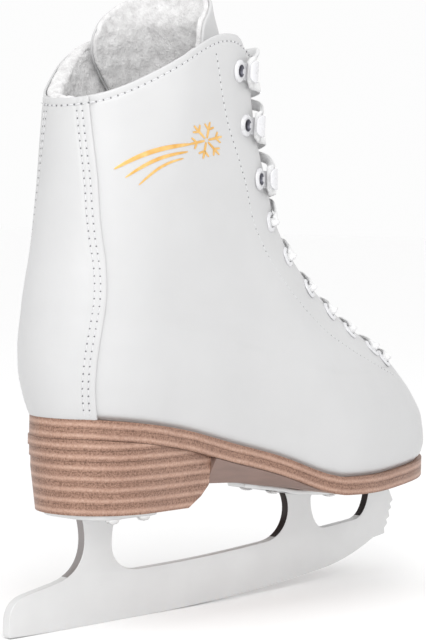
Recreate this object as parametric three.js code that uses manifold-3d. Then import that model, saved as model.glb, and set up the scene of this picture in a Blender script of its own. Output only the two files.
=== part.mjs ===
// A right figure skate: laced leather boot, stacked heel and a steel blade on two plates.
// Millimetres. X runs forward to the toe, Y to the inner side, Z up.
// The origin is the middle of the flat stretch on which the blade stands, in the blade's
// middle plane. The boot is drawn from its heel forwards, and the group shifts it there.

import * as THREE from 'three';
import Module from 'manifold-3d';
import { mergeVertices } from 'three/addons/utils/BufferGeometryUtils.js';

const wasm = await Module();
wasm.setup();

// ---------------------------------------------------------------- driving dimensions

const GAP = 0.3; // clearance between pieces that rest on each other

// Layers of the boot wall, as depths below the outer leather surface.
const LEATHER = [0, 2.2];
const STIFFENER = [2.9, 3.9];
const LINING = [4.6, 6.8];
const BACK_PANEL = [-2, -0.5];
const LASTING_MARGIN = 14; // leather turned in under the lasting board

// The boot's horizontal outlines: height above the sole line, x of the back and of the
// front, half widths at heel, waist, ball and toe, and the length of the front's curve.
const OUTLINES = [
  [0, 2, 259.6, 29.5, 30.5, 41, 37, 62],
  [8, -1, 262, 31, 31.5, 43, 38, 62],
  [20, -3.5, 259.5, 32.5, 32, 43.5, 38, 62],
  [30, -4, 251.5, 32.5, 32, 42, 37, 62],
  [38, -3.6, 242, 32, 31.5, 39.5, 34, 62],
  [44, -3, 232, 31.5, 31, 37, 31.5, 60],
  [48, -2.6, 222.5, 31.5, 31, 35, 29.5, 58],
  [54, -1.8, 206, 31, 30.5, 32.5, 27, 54],
  [60, -1, 190.5, 30.5, 30.5, 30.5, 25.5, 50],
  [67, 0.2, 174, 30, 30.5, 29.5, 25, 46],
  [76, 1.6, 157.5, 30, 30.5, 29, 24.5, 43],
  [88, 3, 142, 30, 31, 29, 26, 37],
  [104, 4.8, 131, 30.5, 33, 31, 28, 30],
  [128, 6.2, 118.5, 31.5, 35, 33, 30, 25],
  [151, 7.2, 112, 33, 37, 35, 31.5, 22],
  [190, 8.5, 107, 35, 39.5, 37.5, 33, 20],
];
const INNER_SIDE_EXTRA = [0, -3.5, 1.5, 3]; // asymmetry of the inner half at the sole
const HEEL_CURVE = 42;
const SOLE_LINE_X = [-10, 6, 21, 39, 59, 75, 91, 107, 118, 129, 141, 150, 162, 183, 210, 235, 262];
const SOLE_LINE_Z = [92.6, 92.5, 91.5, 89.3, 85.8, 82, 78, 74.3, 71.5, 68, 63.6, 60.8, 58.7, 58.3,
  59.5, 60.7, 62.6];
const SEAT_Z = 92.5;
const RIM_BACK = 133; // height of the collar above the sole line
const RIM_RISE = 33.5;
const RIM_FRONT_DROP = 12;

const OUTSOLE = 4.4;
const MIDSOLE = 3.6;
const SOLE_EDGE = 1.4; // how far the sole stands out past the upper
const SOLE_STACK = OUTSOLE + MIDSOLE + 2 * GAP;
const MIDSOLE_TOP = -GAP - 0.1; // below the sole line: its facets bridge the hollow at the ball
const BOARD = [2.6, 5]; // lasting board, above the sole line
const INSOLE = [5.6, 9.4];
const SHANK = [0.5, 2.1];

const HEEL_BOTTOM = 50.8;
const HEEL_LIFTS = 7;
const HEEL_FRONT = 78;
const HEEL_HALF_WIDTH = [27, 30.2]; // at the bottom and at the top
const WAIST_FRONT = 146;
const WEDGE_RUNS_OUT = 158; // where the wedge's underside would meet the outsole's

const BLADE = 4;
const PLATE = 2.2;
const RUNNER_HEIGHT = 21.6;
const CONTACT = { x: 40, half: 20 }; // flat stretch of the runner that stands on the ice
const ROCKER_RADIUS = 1300;
const SPIN_ROCKER = { x: 195, radius: 150 };
const HEEL_PLATE = { back: 13, front: 55, halfWidth: 19 };
const SOLE_PLATE = { back: 130, front: 251, halfWidth: [10, 30, 24] };
const HEEL_RIVETS = { x: [28.5, 48.5], y: 14 };
const SOLE_SCREWS = { x: [147, 178, 214], y: [8, 18, 19] };

const THROAT = 41.5; // height of the bottom of the slit
// The facings stand open in a V: heights, and how far around from the front the eyelets
// are there, as a share of the turn.
const SPREAD_HEIGHTS = [38, 47, 54, 60, 67, 76, 88, 105, 128, 152, 190];
const EYELET_SPREAD = [0.088, 0.0885, 0.091, 0.097, 0.105, 0.1145, 0.128, 0.143, 0.159, 0.173, 0.18];
const FACING_MARGIN = 9; // from the middle of the eyelets to the facing's edge
const LINING_MARGIN = 8; // from the middle of the eyelets back to the lining's edge
const EYELET_HEIGHTS = [44, 47.7, 54, 60, 67, 76, 87.5];
const EYELET = { bore: 2.6, barrel: 3.1, flange: 4.9 };
const HOOK_HEIGHTS = [104.5, 128, 151.5];
const HOOK_WIDTH = 9;
const LACE_RADIUS = 1;
const AGLET_LENGTH = 14;
const TONGUE_DEPTH = 8; // below the outer surface of the boot
const TONGUE_TOP = 185;
const TONGUE_REACH = 0.215; // how far the tongue's top wraps around each side, as a share of the turn

// ---------------------------------------------------------------- helpers

function smoothstep(a, b, x) {
  const t = Math.min(1, Math.max(0, (x - a) / (b - a)));
  return t * t * (3 - 2 * t);
}

const lerp = THREE.MathUtils.lerp;

// A smooth curve through a few stations that never overshoots them.
function curveThrough(xs, ys) {
  const slopes = xs.slice(1).map((x, i) => (ys[i + 1] - ys[i]) / (x - xs[i]));
  const tangents = xs.map((_, i) => {
    if (i === 0) return slopes[0];
    if (i === xs.length - 1) return slopes[i - 1];
    const [a, b] = [slopes[i - 1], slopes[i]];
    return a * b <= 0 ? 0 : (2 * a * b) / (a + b);
  });
  return (x) => {
    const inside = Math.min(xs[xs.length - 1], Math.max(xs[0], x));
    let i = 0;
    while (i < xs.length - 2 && inside > xs[i + 1]) i += 1;
    const width = xs[i + 1] - xs[i];
    const t = (inside - xs[i]) / width;
    const [t2, t3] = [t * t, t * t * t];
    return (2 * t3 - 3 * t2 + 1) * ys[i] + (t3 - 2 * t2 + t) * width * tangents[i]
      + (3 * t2 - 2 * t3) * ys[i + 1] + (t3 - t2) * width * tangents[i + 1];
  };
}

function toManifold(geometry) {
  const bare = geometry.clone();
  bare.deleteAttribute('normal');
  bare.deleteAttribute('uv');
  const merged = mergeVertices(bare, 1e-4);
  return new wasm.Manifold(new wasm.Mesh({
    numProp: 3,
    vertProperties: new Float32Array(merged.attributes.position.array),
    triVerts: new Uint32Array(merged.index.array),
  }));
}

function toGeometry(solid) {
  const mesh = solid.getMesh();
  const geometry = new THREE.BufferGeometry();
  geometry.setAttribute('position', new THREE.BufferAttribute(mesh.vertProperties, 3));
  geometry.setIndex(new THREE.BufferAttribute(mesh.triVerts, 1));
  return geometry;
}

function cut(geometry, cutters) {
  let solid = toManifold(geometry);
  for (const cutter of cutters) solid = solid.subtract(toManifold(cutter));
  return toGeometry(solid);
}

function join(geometries) {
  let solid = toManifold(geometries[0]);
  for (const geometry of geometries.slice(1)) solid = solid.add(toManifold(geometry));
  return toGeometry(solid);
}

// Closed skin over rings of points. Each ring is a closed loop, and the rings run along
// the piece. The piece closes on itself when `round` is set, and has flat ends otherwise.
function loft(rings, round = false) {
  const size = rings[0].length;
  const points = rings.flat().flatMap((p) => [p.x, p.y, p.z]);
  const index = [];
  const spans = round ? rings.length : rings.length - 1;
  for (let i = 0; i < spans; i += 1) {
    const a = i * size;
    const b = ((i + 1) % rings.length) * size;
    for (let j = 0; j < size; j += 1) {
      const k = (j + 1) % size;
      // Both faces of a wall are split along the same diagonal, so layers stay parallel.
      if (j < size / 2) index.push(a + j, b + j, b + k, a + j, b + k, a + k);
      else index.push(a + j, b + j, a + k, b + j, b + k, a + k);
    }
  }
  const last = (rings.length - 1) * size;
  for (let j = 0; !round && j < size / 2 - 1; j += 1) {
    const [p, q, r, s] = [j, j + 1, size - 1 - j, size - 2 - j];
    index.push(p, q, r, q, s, r);
    index.push(last + p, last + r, last + q, last + q, last + r, last + s);
  }
  const geometry = new THREE.BufferGeometry();
  geometry.setAttribute('position', new THREE.Float32BufferAttribute(points, 3));
  geometry.setIndex(index);
  return outward(geometry);
}

function outward(geometry) {
  const p = geometry.attributes.position;
  const index = geometry.index.array;
  const [a, b, c] = [new THREE.Vector3(), new THREE.Vector3(), new THREE.Vector3()];
  let volume = 0;
  for (let i = 0; i < index.length; i += 3) {
    a.fromBufferAttribute(p, index[i]);
    b.fromBufferAttribute(p, index[i + 1]);
    c.fromBufferAttribute(p, index[i + 2]);
    volume += a.dot(b.cross(c));
  }
  if (volume < 0) geometry.setIndex(Array.from(index).reverse());
  return geometry;
}

function extrude(outline, depth, holes = []) {
  const shape = new THREE.Shape(outline.map(([x, y]) => new THREE.Vector2(x, y)));
  shape.holes = holes;
  return new THREE.ExtrudeGeometry(shape, { depth, bevelEnabled: false, curveSegments: 5 });
}

function turned(profile, segments = 8) {
  return new THREE.LatheGeometry(profile.map(([r, z]) => new THREE.Vector2(r, z)), segments);
}

// Puts a piece made along +Y (a turned one) on a surface point, with +Y along the normal.
function place(geometry, point, normal) {
  const turn = new THREE.Quaternion().setFromUnitVectors(new THREE.Vector3(0, 1, 0), normal);
  return geometry.clone().applyQuaternion(turn).translate(point.x, point.y, point.z);
}

// ---------------------------------------------------------------- the boot's surface

const heights = OUTLINES.map((row) => row[0]);
const [backX, frontX, heelHalf, waistHalf, ballHalf, toeHalf, noseLength] = [1, 2, 3, 4, 5, 6, 7]
  .map((column) => curveThrough(heights, OUTLINES.map((row) => row[column])));
const soleZ = curveThrough(SOLE_LINE_X, SOLE_LINE_Z);
const eyeletU = curveThrough(SPREAD_HEIGHTS, EYELET_SPREAD);

function quarterRound(t) {
  const rest = 1 - Math.min(1, Math.max(0, t));
  return Math.sqrt(Math.max(0, 1 - rest * rest));
}

// Half width of the outline at height h, a share s of the way from the back to the front.
function halfWidth(h, s, inner) {
  const length = frontX(h) - backX(h);
  const fade = inner ? 1 - smoothstep(0, 60, h) : 0;
  const halves = [heelHalf, waistHalf, ballHalf, toeHalf]
    .map((half, i) => half(h) + fade * INNER_SIDE_EXTRA[i]);
  const [heel, waist, ball, toe] = halves;
  const along = curveThrough([0, 0.13, 0.4, 0.66, 0.86, 1], [heel, heel, waist, ball, toe, toe]);
  const heelCurve = Math.min(0.45, HEEL_CURVE / length);
  const noseCurve = Math.min(0.5, noseLength(h) / length);
  return along(s) * quarterRound(s / heelCurve) * quarterRound((1 - s) / noseCurve);
}

function surfaceZ(h, x) {
  const level = smoothstep(15, 105, h);
  return h + soleZ(x) * (1 - level) + SEAT_Z * level;
}

// u runs around the boot: 0 at the front, 0.25 outer side, 0.5 back, 0.75 inner side.
function surface(h, u) {
  const s = (1 + Math.cos(2 * Math.PI * u)) / 2;
  const side = -Math.sign(Math.sin(2 * Math.PI * u));
  const x = lerp(backX(h), frontX(h), s);
  return new THREE.Vector3(x, side * halfWidth(h, s, side > 0), surfaceZ(h, x));
}

function surfaceNormal(h, u) {
  const around = surface(h, u + 0.004).sub(surface(h, u - 0.004));
  const up = surface(h + 0.5, u).sub(surface(Math.max(0, h - 0.5), u));
  return up.cross(around).normalize();
}

function below(h, u, depth) {
  return surface(h, u).addScaledVector(surfaceNormal(h, u), -depth);
}

// u where the surface stands a given distance y from the middle plane, near the front.
function frontU(h, y) {
  let [low, high] = [0, 0.2];
  for (let i = 0; i < 30; i += 1) {
    const middle = (low + high) / 2;
    if (Math.abs(surface(h, middle).y) < Math.abs(y)) low = middle;
    else high = middle;
  }
  return y < 0 ? low : 1 - low;
}

// Place on one side of the boot, a share of the turn away from the front.
const onSide = (side, share) => (side < 0 ? share : 1 - share);

// Share of the turn a distance in mm behind the row of eyelets, or before it if negative.
function besideEyelets(h, distance) {
  const u = eyeletU(h);
  const step = surface(h, u + 0.002).distanceTo(surface(h, u - 0.002)) / 0.004;
  return u + distance / step;
}

function rimHeight(u) {
  const s = (1 + Math.cos(2 * Math.PI * u)) / 2;
  return RIM_BACK + RIM_RISE * smoothstep(-0.12, 0.66, s)
    - RIM_FRONT_DROP * smoothstep(0.68, 1.05, s);
}

const COLUMNS = 32;
const ROWS = [6, 14, 22, 30, 37, 42, 47, 52, 57, 63, 70, 77, 84, 91, 98, 107, 118, 130];

// One wall of the boot between two depths: columns around the boot, each a closed loop
// down the outer face and up the inner one.
function wall(us, hs, [outer, inner], { round = false, foot = () => [] } = {}) {
  const rings = us.map((u) => {
    const rows = typeof hs === 'function' ? hs(u) : hs;
    const down = rows.map((h) => below(h, u, outer));
    const up = rows.map((h) => below(h, u, inner)).reverse();
    return [...down, ...foot(u), ...up];
  });
  return loft(rings, round);
}

const allColumns = Array.from({ length: COLUMNS }, (_, i) => i / COLUMNS);
const columnsBetween = (from, to) => Array.from(
  { length: Math.round((to - from) * COLUMNS) + 1 },
  (_, i) => from + i / COLUMNS,
);

function rowsToRim(first) {
  const rows = [...ROWS].reverse().filter((h) => h >= first);
  return (u) => [rimHeight(u), lerp(rows[0], rimHeight(u), 0.6), ...rows];
}

// Wedge over the front of the boot that cuts a layer open up to a distance from the eyelets.
function slitCutter(distance, reach) {
  const hs = [THROAT, 47, 54, 62, 72, 84, 100, 125, 155, 189];
  return loft(hs.map((h) => {
    const [front, back] = [below(h, 0, -24), below(h, 0, reach)];
    const half = Math.abs(surface(h, besideEyelets(h, distance)).y);
    return [
      new THREE.Vector3(front.x, -half, front.z),
      new THREE.Vector3(front.x, half, front.z),
      new THREE.Vector3(back.x, half, back.z),
      new THREE.Vector3(back.x, -half, back.z),
    ];
  }));
}

function boreCutter(h, u, radius) {
  const bore = turned([[0, -12], [radius, -12], [radius, 12], [0, 12]]);
  return place(bore, surface(h, u), surfaceNormal(h, u));
}

const boresAt = (heights, radius) => heights
  .flatMap((h) => [-1, 1].map((side) => boreCutter(h, onSide(side, eyeletU(h)), radius)));
const eyeletBores = (radius) => boresAt(EYELET_HEIGHTS, radius);
const hookBores = (radius) => boresAt(HOOK_HEIGHTS, radius);

// ---------------------------------------------------------------- upper and its layers

function upperShell() {
  const turnIn = (u) => {
    const edge = surface(0, u);
    const centre = new THREE.Vector3(Math.min(215, Math.max(38, edge.x)), 0, 0);
    const inward = centre.clone().sub(edge).setZ(0).normalize();
    const low = edge.clone().addScaledVector(inward, LASTING_MARGIN);
    low.z = soleZ(low.x);
    const outerFoot = surface(0, u);
    const innerFoot = edge.clone().addScaledVector(inward, LEATHER[1]);
    innerFoot.z = soleZ(innerFoot.x) + LEATHER[1];
    const high = low.clone().setZ(low.z + LEATHER[1]);
    return [outerFoot, low, high, innerFoot];
  };
  const shell = wall(allColumns, rowsToRim(6), LEATHER, { round: true, foot: turnIn });
  return cut(shell, [
    slitCutter(-FACING_MARGIN, 26),
    ...eyeletBores(EYELET.barrel + GAP),
    ...hookBores(1.5 + GAP),
  ]);
}

function lining() {
  const fleece = wall(allColumns, rowsToRim(10), LINING, { round: true });
  return cut(fleece, [slitCutter(LINING_MARGIN, 34)]);
}

function heelCounter() {
  return wall(columnsBetween(0.34375, 0.65625), [63, 52, 42, 30, 22, 14, 8], STIFFENER);
}

function toePuff() {
  return wall(columnsBetween(-0.125, 0.125), [37, 30, 22, 14, 8], STIFFENER);
}

// Stay under the eyelets and hooks on one side, from the throat to the collar.
function facingStay(side) {
  const hs = ROWS.filter((h) => h >= 47).concat(150);
  const distances = [1 - FACING_MARGIN, -4, 0, 3, 6];
  const rings = hs.map((h) => {
    const us = distances.map((distance) => onSide(side, besideEyelets(h, distance)));
    const top = us.map((u) => below(h, u, STIFFENER[0]));
    const bottom = us.map((u) => below(h, u, STIFFENER[1])).reverse();
    return [...top, ...bottom];
  });
  return cut(loft(rings), [...eyeletBores(EYELET.barrel + GAP), ...hookBores(1.5 + GAP)]);
}

function backPanel() {
  return wall(columnsBetween(0.40625, 0.59375), rowsToRim(6), BACK_PANEL);
}

// ---------------------------------------------------------------- tongue

function tongueColumns(h) {
  const reach = lerp(0.085, TONGUE_REACH, smoothstep(30, 165, h));
  return Array.from({ length: 9 }, (_, i) => ((i - 4) / 4) * reach);
}

function tongueLayer(outer, inner) {
  const hs = [35, 40, 45, 50, 57, 65, 75, 88, 106, 130, 152];
  const columns = 9;
  const rings = Array.from({ length: columns }, (_, i) => {
    const drop = 17 * Math.abs((i - 4) / 4) ** 2.4;
    const rows = [...hs, 168 - drop / 2, TONGUE_TOP - drop].reverse();
    const at = (depth) => (h) => below(h, tongueColumns(h)[i], depth(h));
    return [...rows.map(at(outer)), ...rows.reverse().map(at(inner))];
  });
  return loft(rings);
}

// The tongue's layers thin out towards the throat.
const skinOuter = () => TONGUE_DEPTH;
const skinInner = () => TONGUE_DEPTH + 1.2;
const foamOuter = () => TONGUE_DEPTH + 1.2 + GAP;
const foamInner = (h) => foamOuter() + lerp(2, 5, smoothstep(46, 100, h));
const fleeceOuter = (h) => foamInner(h) + GAP;
const fleeceInner = (h) => foamInner(h) + GAP + 1.6;

// ---------------------------------------------------------------- soles and heel

const STATIONS = Array.from({ length: 19 }, (_, i) => (1 - Math.cos((Math.PI * i) / 18)) / 2);

// Strip along X between two heights. `halves` gives its outer and inner half width at x.
function strip(from, to, [low, high], halves, lowHalves = halves) {
  const rings = STATIONS.map((t) => {
    const x = lerp(from, to, t);
    const [topOuter, topInner] = halves(x);
    const [lowOuter, lowInner] = lowHalves(x);
    return [
      new THREE.Vector3(x, -topOuter, high(x)),
      new THREE.Vector3(x, topInner, high(x)),
      new THREE.Vector3(x, lowInner, low(x)),
      new THREE.Vector3(x, -lowOuter, low(x)),
    ];
  });
  return loft(rings);
}

// Half widths of the sole outline, grown by `edge` past the upper.
function soleHalves(edge) {
  const [back, front] = [backX(0) - edge, frontX(0) + edge];
  const grow = 1 + edge / 35;
  return (x) => {
    const s = Math.min(0.9985, Math.max(0.0015, (x - back) / (front - back)));
    return [halfWidth(0, s, false) * grow, halfWidth(0, s, true) * grow];
  };
}

// Full length layer of the sole between two offsets from the sole line.
function soleLayer(low, high, edge) {
  return strip(backX(0) - edge, frontX(0) + edge, [above(low), above(high)], soleHalves(edge));
}

const above = (offset) => (x) => soleZ(x) + offset;
const soleUnderside = above(-SOLE_STACK);
const wedgeUnderside = curveThrough([78, 99, 112, 140, 158], [60.6, 59.3, 57.3, 53.7, 50.9]);

function plateTop(x) {
  const onWedge = x < WEDGE_RUNS_OUT;
  return (onWedge ? Math.min(wedgeUnderside(x), soleUnderside(x)) : soleUnderside(x)) - GAP;
}

function waistWedge() {
  const faces = [wedgeUnderside, above(-SOLE_STACK - 0.8)];
  const wedge = strip(HEEL_FRONT + GAP, WAIST_FRONT, faces, soleHalves(0.6), soleHalves(-6));
  return cut(wedge, screwBores(GAP));
}

function outsole() {
  return cut(soleLayer(-SOLE_STACK, -SOLE_STACK + OUTSOLE, SOLE_EDGE), screwBores(GAP));
}

function shank() {
  return strip(28, 136, [above(SHANK[0]), above(SHANK[1])], () => [7, 7]);
}

function heelOutline(halfWide, back) {
  const shape = new THREE.Shape();
  shape.moveTo(HEEL_FRONT, -halfWide + 1.5);
  shape.lineTo(HEEL_FRONT, halfWide - 1.5);
  shape.lineTo(40, halfWide);
  shape.absellipse(back + 33, 0, 33, halfWide, Math.PI / 2, (3 * Math.PI) / 2, false);
  shape.lineTo(40, -halfWide);
  return shape;
}

function heelLift(number) {
  const pitch = (soleUnderside(0) - HEEL_BOTTOM) / HEEL_LIFTS;
  const z = HEEL_BOTTOM + number * pitch;
  const share = number / (HEEL_LIFTS - 1);
  const halfWide = lerp(...HEEL_HALF_WIDTH, share);
  const block = new THREE.ExtrudeGeometry(heelOutline(halfWide, lerp(5.2, 1.2, share)), {
    depth: pitch - GAP, bevelEnabled: false, curveSegments: 12,
  }).translate(0, 0, z);
  const sole = [];
  for (let i = 0; i <= 8; i += 1) sole.push([-8 + i * 12, soleUnderside(-8 + i * 12) - GAP]);
  const overSole = extrude([...sole, [90, 110], [-8, 110]], 90)
    .rotateX(Math.PI / 2).translate(0, 45, 0);
  const chamfer = extrude([[64, 50], [76, 57.5], [90, 57.5], [90, 50]], 90)
    .rotateX(Math.PI / 2).translate(0, 45, 0);
  return cut(block, [overSole, chamfer, ...rivetBores(0.3)]);
}

// ---------------------------------------------------------------- plates and fasteners

function eachRivet(make) {
  return HEEL_RIVETS.x.flatMap((x) => [-1, 1].map((side) => make(x, side * HEEL_RIVETS.y)));
}

function eachScrew(make) {
  return SOLE_SCREWS.x.flatMap((x, i) => [-1, 1].map((side) => make(x, side * SOLE_SCREWS.y[i])));
}

function upright(profile, x, y, z) {
  return turned(profile).rotateX(Math.PI / 2).translate(x, y, z);
}

function rivetBores(clearance) {
  const radius = 2 + clearance;
  const profile = [[0, -4], [radius, -4], [radius, 11], [0, 11]];
  return eachRivet((x, y) => upright(profile, x, y, HEEL_BOTTOM - GAP - PLATE));
}

function screwBores(clearance) {
  const radius = 1.8 + clearance;
  const profile = [[0, -4], [radius, -4], [radius, 7.5], [0, 7.5]];
  return eachScrew((x, y) => upright(profile, x, y, plateTop(x) - PLATE));
}

function heelPlate() {
  const { back, front, halfWidth: w } = HEEL_PLATE;
  const r = 12;
  const shape = new THREE.Shape();
  shape.moveTo(front, -w + 5);
  shape.absarc(front - 5, w - 5, 5, 0, Math.PI / 2, false);
  shape.absarc(back + r, w - r, r, Math.PI / 2, Math.PI, false);
  shape.absarc(back + r, -w + r, r, Math.PI, 1.5 * Math.PI, false);
  shape.absarc(front - 5, -w + 5, 5, 1.5 * Math.PI, 2 * Math.PI, false);
  const plate = new THREE.ExtrudeGeometry(shape, {
    depth: PLATE, bevelEnabled: false, curveSegments: 5,
  }).translate(0, 0, HEEL_BOTTOM - GAP - PLATE);
  return cut(plate, rivetBores(GAP));
}

function solePlate() {
  const { back, front, halfWidth: [tail, ball, toe] } = SOLE_PLATE;
  const half = curveThrough([0, 0.04, 0.25, 0.55, 0.85, 0.96, 1],
    [5, tail - 1, tail + 4, ball - 3, toe, toe - 5, toe - 14]);
  const halves = (x) => Array(2).fill(half((x - back) / (front - back)));
  const plate = strip(back, front, [(x) => plateTop(x) - PLATE, plateTop], halves);
  return cut(plate, screwBores(GAP));
}

const rivetProfile = [[0, -1.7], [2.2, -1.5], [3.9, -0.6], [4.1, 0], [2, 0], [2, 10], [0, 10]];
const screwProfile = [[0, -1.1], [2, -1], [3.3, -0.4], [3.5, 0], [1.8, 0], [1.8, 6.4], [0, 6.4]];

// ---------------------------------------------------------------- blade

function runnerBottom(x) {
  const main = Math.max(0, Math.abs(x - CONTACT.x) - CONTACT.half) ** 2 / (2 * ROCKER_RADIUS);
  const spin = Math.max(0, x - SPIN_ROCKER.x) ** 2 / (2 * SPIN_ROCKER.radius);
  return main + spin;
}

function toePick() {
  const teeth = [[247.8, 19.6], [247.4, 22.4], [250.2, 24.6], [249, 26.6], [251.9, 28], [250.8, 31],
    [253.4, 32.4], [251.8, 34.6], [254.4, 36.2], [250, 43]];
  return teeth;
}

function blade() {
  const heelTop = HEEL_BOTTOM - 2 * GAP - PLATE;
  const soleTop = (x) => plateTop(x) - PLATE - GAP;
  const shape = new THREE.Shape();
  shape.moveTo(-20.4, runnerBottom(-20.4));
  for (let x = 0; x <= 240; x += x < 195 ? 20 : 8) shape.lineTo(x, runnerBottom(x));
  for (const [x, z] of toePick()) shape.lineTo(x, z);
  shape.lineTo(247.5, soleTop(247.5));
  shape.lineTo(233.5, soleTop(233.5));
  shape.bezierCurveTo(233.5, 37, 229, 29.4, 220, 29);
  shape.lineTo(197, 27.4);
  shape.bezierCurveTo(189, 27, 184.6, 36, 184.8, soleTop(184.8) - 4);
  shape.lineTo(187, soleTop(187));
  shape.lineTo(164, soleTop(187));
  shape.bezierCurveTo(171, 38, 165, 25.6, 150, runnerBottom(150) + RUNNER_HEIGHT);
  for (let x = 135; x >= 55; x -= 20) shape.lineTo(x, runnerBottom(x) + RUNNER_HEIGHT);
  shape.bezierCurveTo(46, 22, 41, 29, 41.8, 37);
  shape.bezierCurveTo(42, 41, 43, 45, 44.5, heelTop);
  shape.lineTo(22, heelTop);
  shape.bezierCurveTo(26, 38, 26.5, 24.5, 8, 20.8);
  shape.lineTo(-10, 17.8);
  shape.bezierCurveTo(-17, 16.6, -20.6, 13, -20.6, 7);
  shape.closePath();
  return new THREE.ExtrudeGeometry(shape, { depth: BLADE, bevelEnabled: false, curveSegments: 7 })
    .rotateX(Math.PI / 2).translate(0, BLADE / 2, 0);
}

// ---------------------------------------------------------------- eyelets, hooks, lace

function eyelet(h, side) {
  const { bore, barrel, flange } = EYELET;
  const profile = [[bore, -3.2], [barrel, -3.2], [barrel, 0.3], [flange, 0.3], [flange - 0.6, 0.9],
    [bore, 0.9], [bore, -3.2]];
  const u = onSide(side, eyeletU(h));
  return place(turned(profile, 10), surface(h, u), surfaceNormal(h, u));
}

// Frame of a hook on the surface: away from the slit, out of the leather, up the facing.
function hookFrame(h, side) {
  const u = onSide(side, eyeletU(h));
  const out = surfaceNormal(h, u);
  const behind = onSide(side, eyeletU(h) + 0.004);
  const away = surface(h, behind).sub(surface(h, 2 * u - behind));
  away.addScaledVector(out, -away.dot(out)).normalize();
  return { origin: surface(h, u), away, out, up: away.clone().cross(out).multiplyScalar(-side) };
}

// Lace hook: a round foot with a rivet through the leather, a stem near the slit and a lip
// that curls back over the foot.
function hook(h, side) {
  const foot = turned([[0, -4.4], [1.5, -4.4], [1.5, 0.4], [4.3, 0.4], [4.1, 1.3], [0, 1.3]], 10);
  const curl = [[-2, 0.5], [-6.4, 0.5], [-7.2, 1.4], [-7.2, 5.4], [-5.8, 6.9], [-1.2, 6.9],
    [-0.2, 5.9], [-1, 5], [-1.8, 5.8], [-5.4, 5.8], [-6.1, 5], [-6.1, 1.8], [-5.6, 1.3], [-2, 1.3]];
  const lip = extrude(curl, HOOK_WIDTH).translate(0, 0, -HOOK_WIDTH / 2);
  const { origin, away, out } = hookFrame(h, side);
  const frame = new THREE.Matrix4().makeBasis(away, out, away.clone().cross(out));
  return join([foot, lip]).applyMatrix4(frame).translate(origin.x, origin.y, origin.z);
}

// Points of the lace around the stem of a hook, under its lip, from below to above.
function aroundHook(h, side) {
  const { origin, away, out, up } = hookFrame(h, side);
  return [[-9, 2.8, -7.4], [-5, 3.5, -6.1], [-4.7, 3.5, 0], [-5, 3.5, 6.1], [-9, 2.8, 7.4]]
    .map(([a, o, t]) => origin.clone().addScaledVector(away, a)
      .addScaledVector(out, o).addScaledVector(up, t));
}

const at = (h, y, depth) => below(h, frontU(h, y), depth);
const atShare = (h, share, depth) => (
  below(h, onSide(Math.sign(share), Math.abs(share) * eyeletU(h)), depth)
);

// Route of one half of the lace, from the lowest eyelet on `side` up to the top hook and
// down inside. The half that starts on the inner side lies over the other where they cross.
function laceHalf(side) {
  const crossing = side > 0 ? 1.4 : 4.2;
  const rows = [...EYELET_HEIGHTS, ...HOOK_HEIGHTS];
  const route = [at(rows[0], side * 5, 6.3), atShare(rows[0], side * 0.8, 5.8)];
  let y = side;
  rows.forEach((h, i) => {
    const next = rows[i + 1];
    const toEyelet = i + 1 < EYELET_HEIGHTS.length;
    const part = (share) => lerp(h, next, share);
    if (i < EYELET_HEIGHTS.length) {
      route.push(atShare(h, y * 0.98, 4.8), atShare(h, y, 1.5), atShare(h, y * 0.985, -1.8));
      route.push(atShare(part(0.04), y * 0.9, -2.6), atShare(part(0.12), y * 0.7, -2.3));
      route.push(atShare(part(0.2), y * 0.48, -1.4));
    } else {
      route.push(...aroundHook(h, y), atShare(h + 9.5, y * 0.52, -1.6));
    }
    if (!next) return;
    route.push(at(part(0.55), y * 0.4, crossing));
    if (toEyelet) route.push(atShare(part(0.82), -y * 0.45, 5.4), atShare(part(0.95), -y * 0.86, 5.6));
    else route.push(atShare(part(0.72), -y * 0.52, -2.4));
    y = -y;
  });
  const top = rows[rows.length - 1];
  route.push(at(top + 6, y * 0.4, crossing), at(top + 3, -y * 3.4, 5));
  route.push(at(top - 2, -y * 3.8, 6.3), at(top - 7, -y * 3.9, 6.4), at(top - 12, -y * 3.9, 6));
  return route;
}

// Round bar along a line of points.
function sweep(line, radius, sides = 6) {
  let across = new THREE.Vector3(0, 1, 0);
  const rings = line.map((point, i) => {
    const ahead = line[Math.min(i + 1, line.length - 1)].clone();
    const along = ahead.sub(line[Math.max(i - 1, 0)]).normalize();
    across = across.clone().addScaledVector(along, -across.dot(along)).normalize();
    const third = along.clone().cross(across);
    return Array.from({ length: sides }, (_, k) => {
      const angle = (2 * Math.PI * k) / sides;
      return point.clone().addScaledVector(across, radius * Math.cos(angle))
        .addScaledVector(third, radius * Math.sin(angle));
    });
  });
  return loft(rings);
}

function aglet(line, end) {
  const [last, before] = end ? [line[line.length - 1], line[line.length - 2]] : [line[0], line[1]];
  const along = last.clone().sub(before).normalize();
  const start = last.clone().addScaledVector(along, GAP);
  return sweep([start, last.clone().addScaledVector(along, AGLET_LENGTH)], LACE_RADIUS);
}

// ---------------------------------------------------------------- the assembly

const material = (color, roughness, metalness = 0) => () => new THREE.MeshStandardMaterial({
  color, roughness, metalness,
});
const WHITE_LEATHER = material(0xe9e9ea, 0.45);
const FLEECE = material(0xd9d7d6, 0.95);
const STEEL = material(0xc9cbcd, 0.3, 1);
const ENAMEL = material(0xf1f1f0, 0.3, 0.3);
const STACKED = material(0xb28d80, 0.7);
const BOARD_FIBRE = material(0xb9a48c, 0.9);

const group = new THREE.Group();
group.name = 'figure_skate';
group.position.x = -CONTACT.x;

function add(name, geometry, finish) {
  const mesh = new THREE.Mesh(toGeometry(toManifold(geometry)), finish());
  mesh.name = name;
  group.add(mesh);
}

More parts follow.
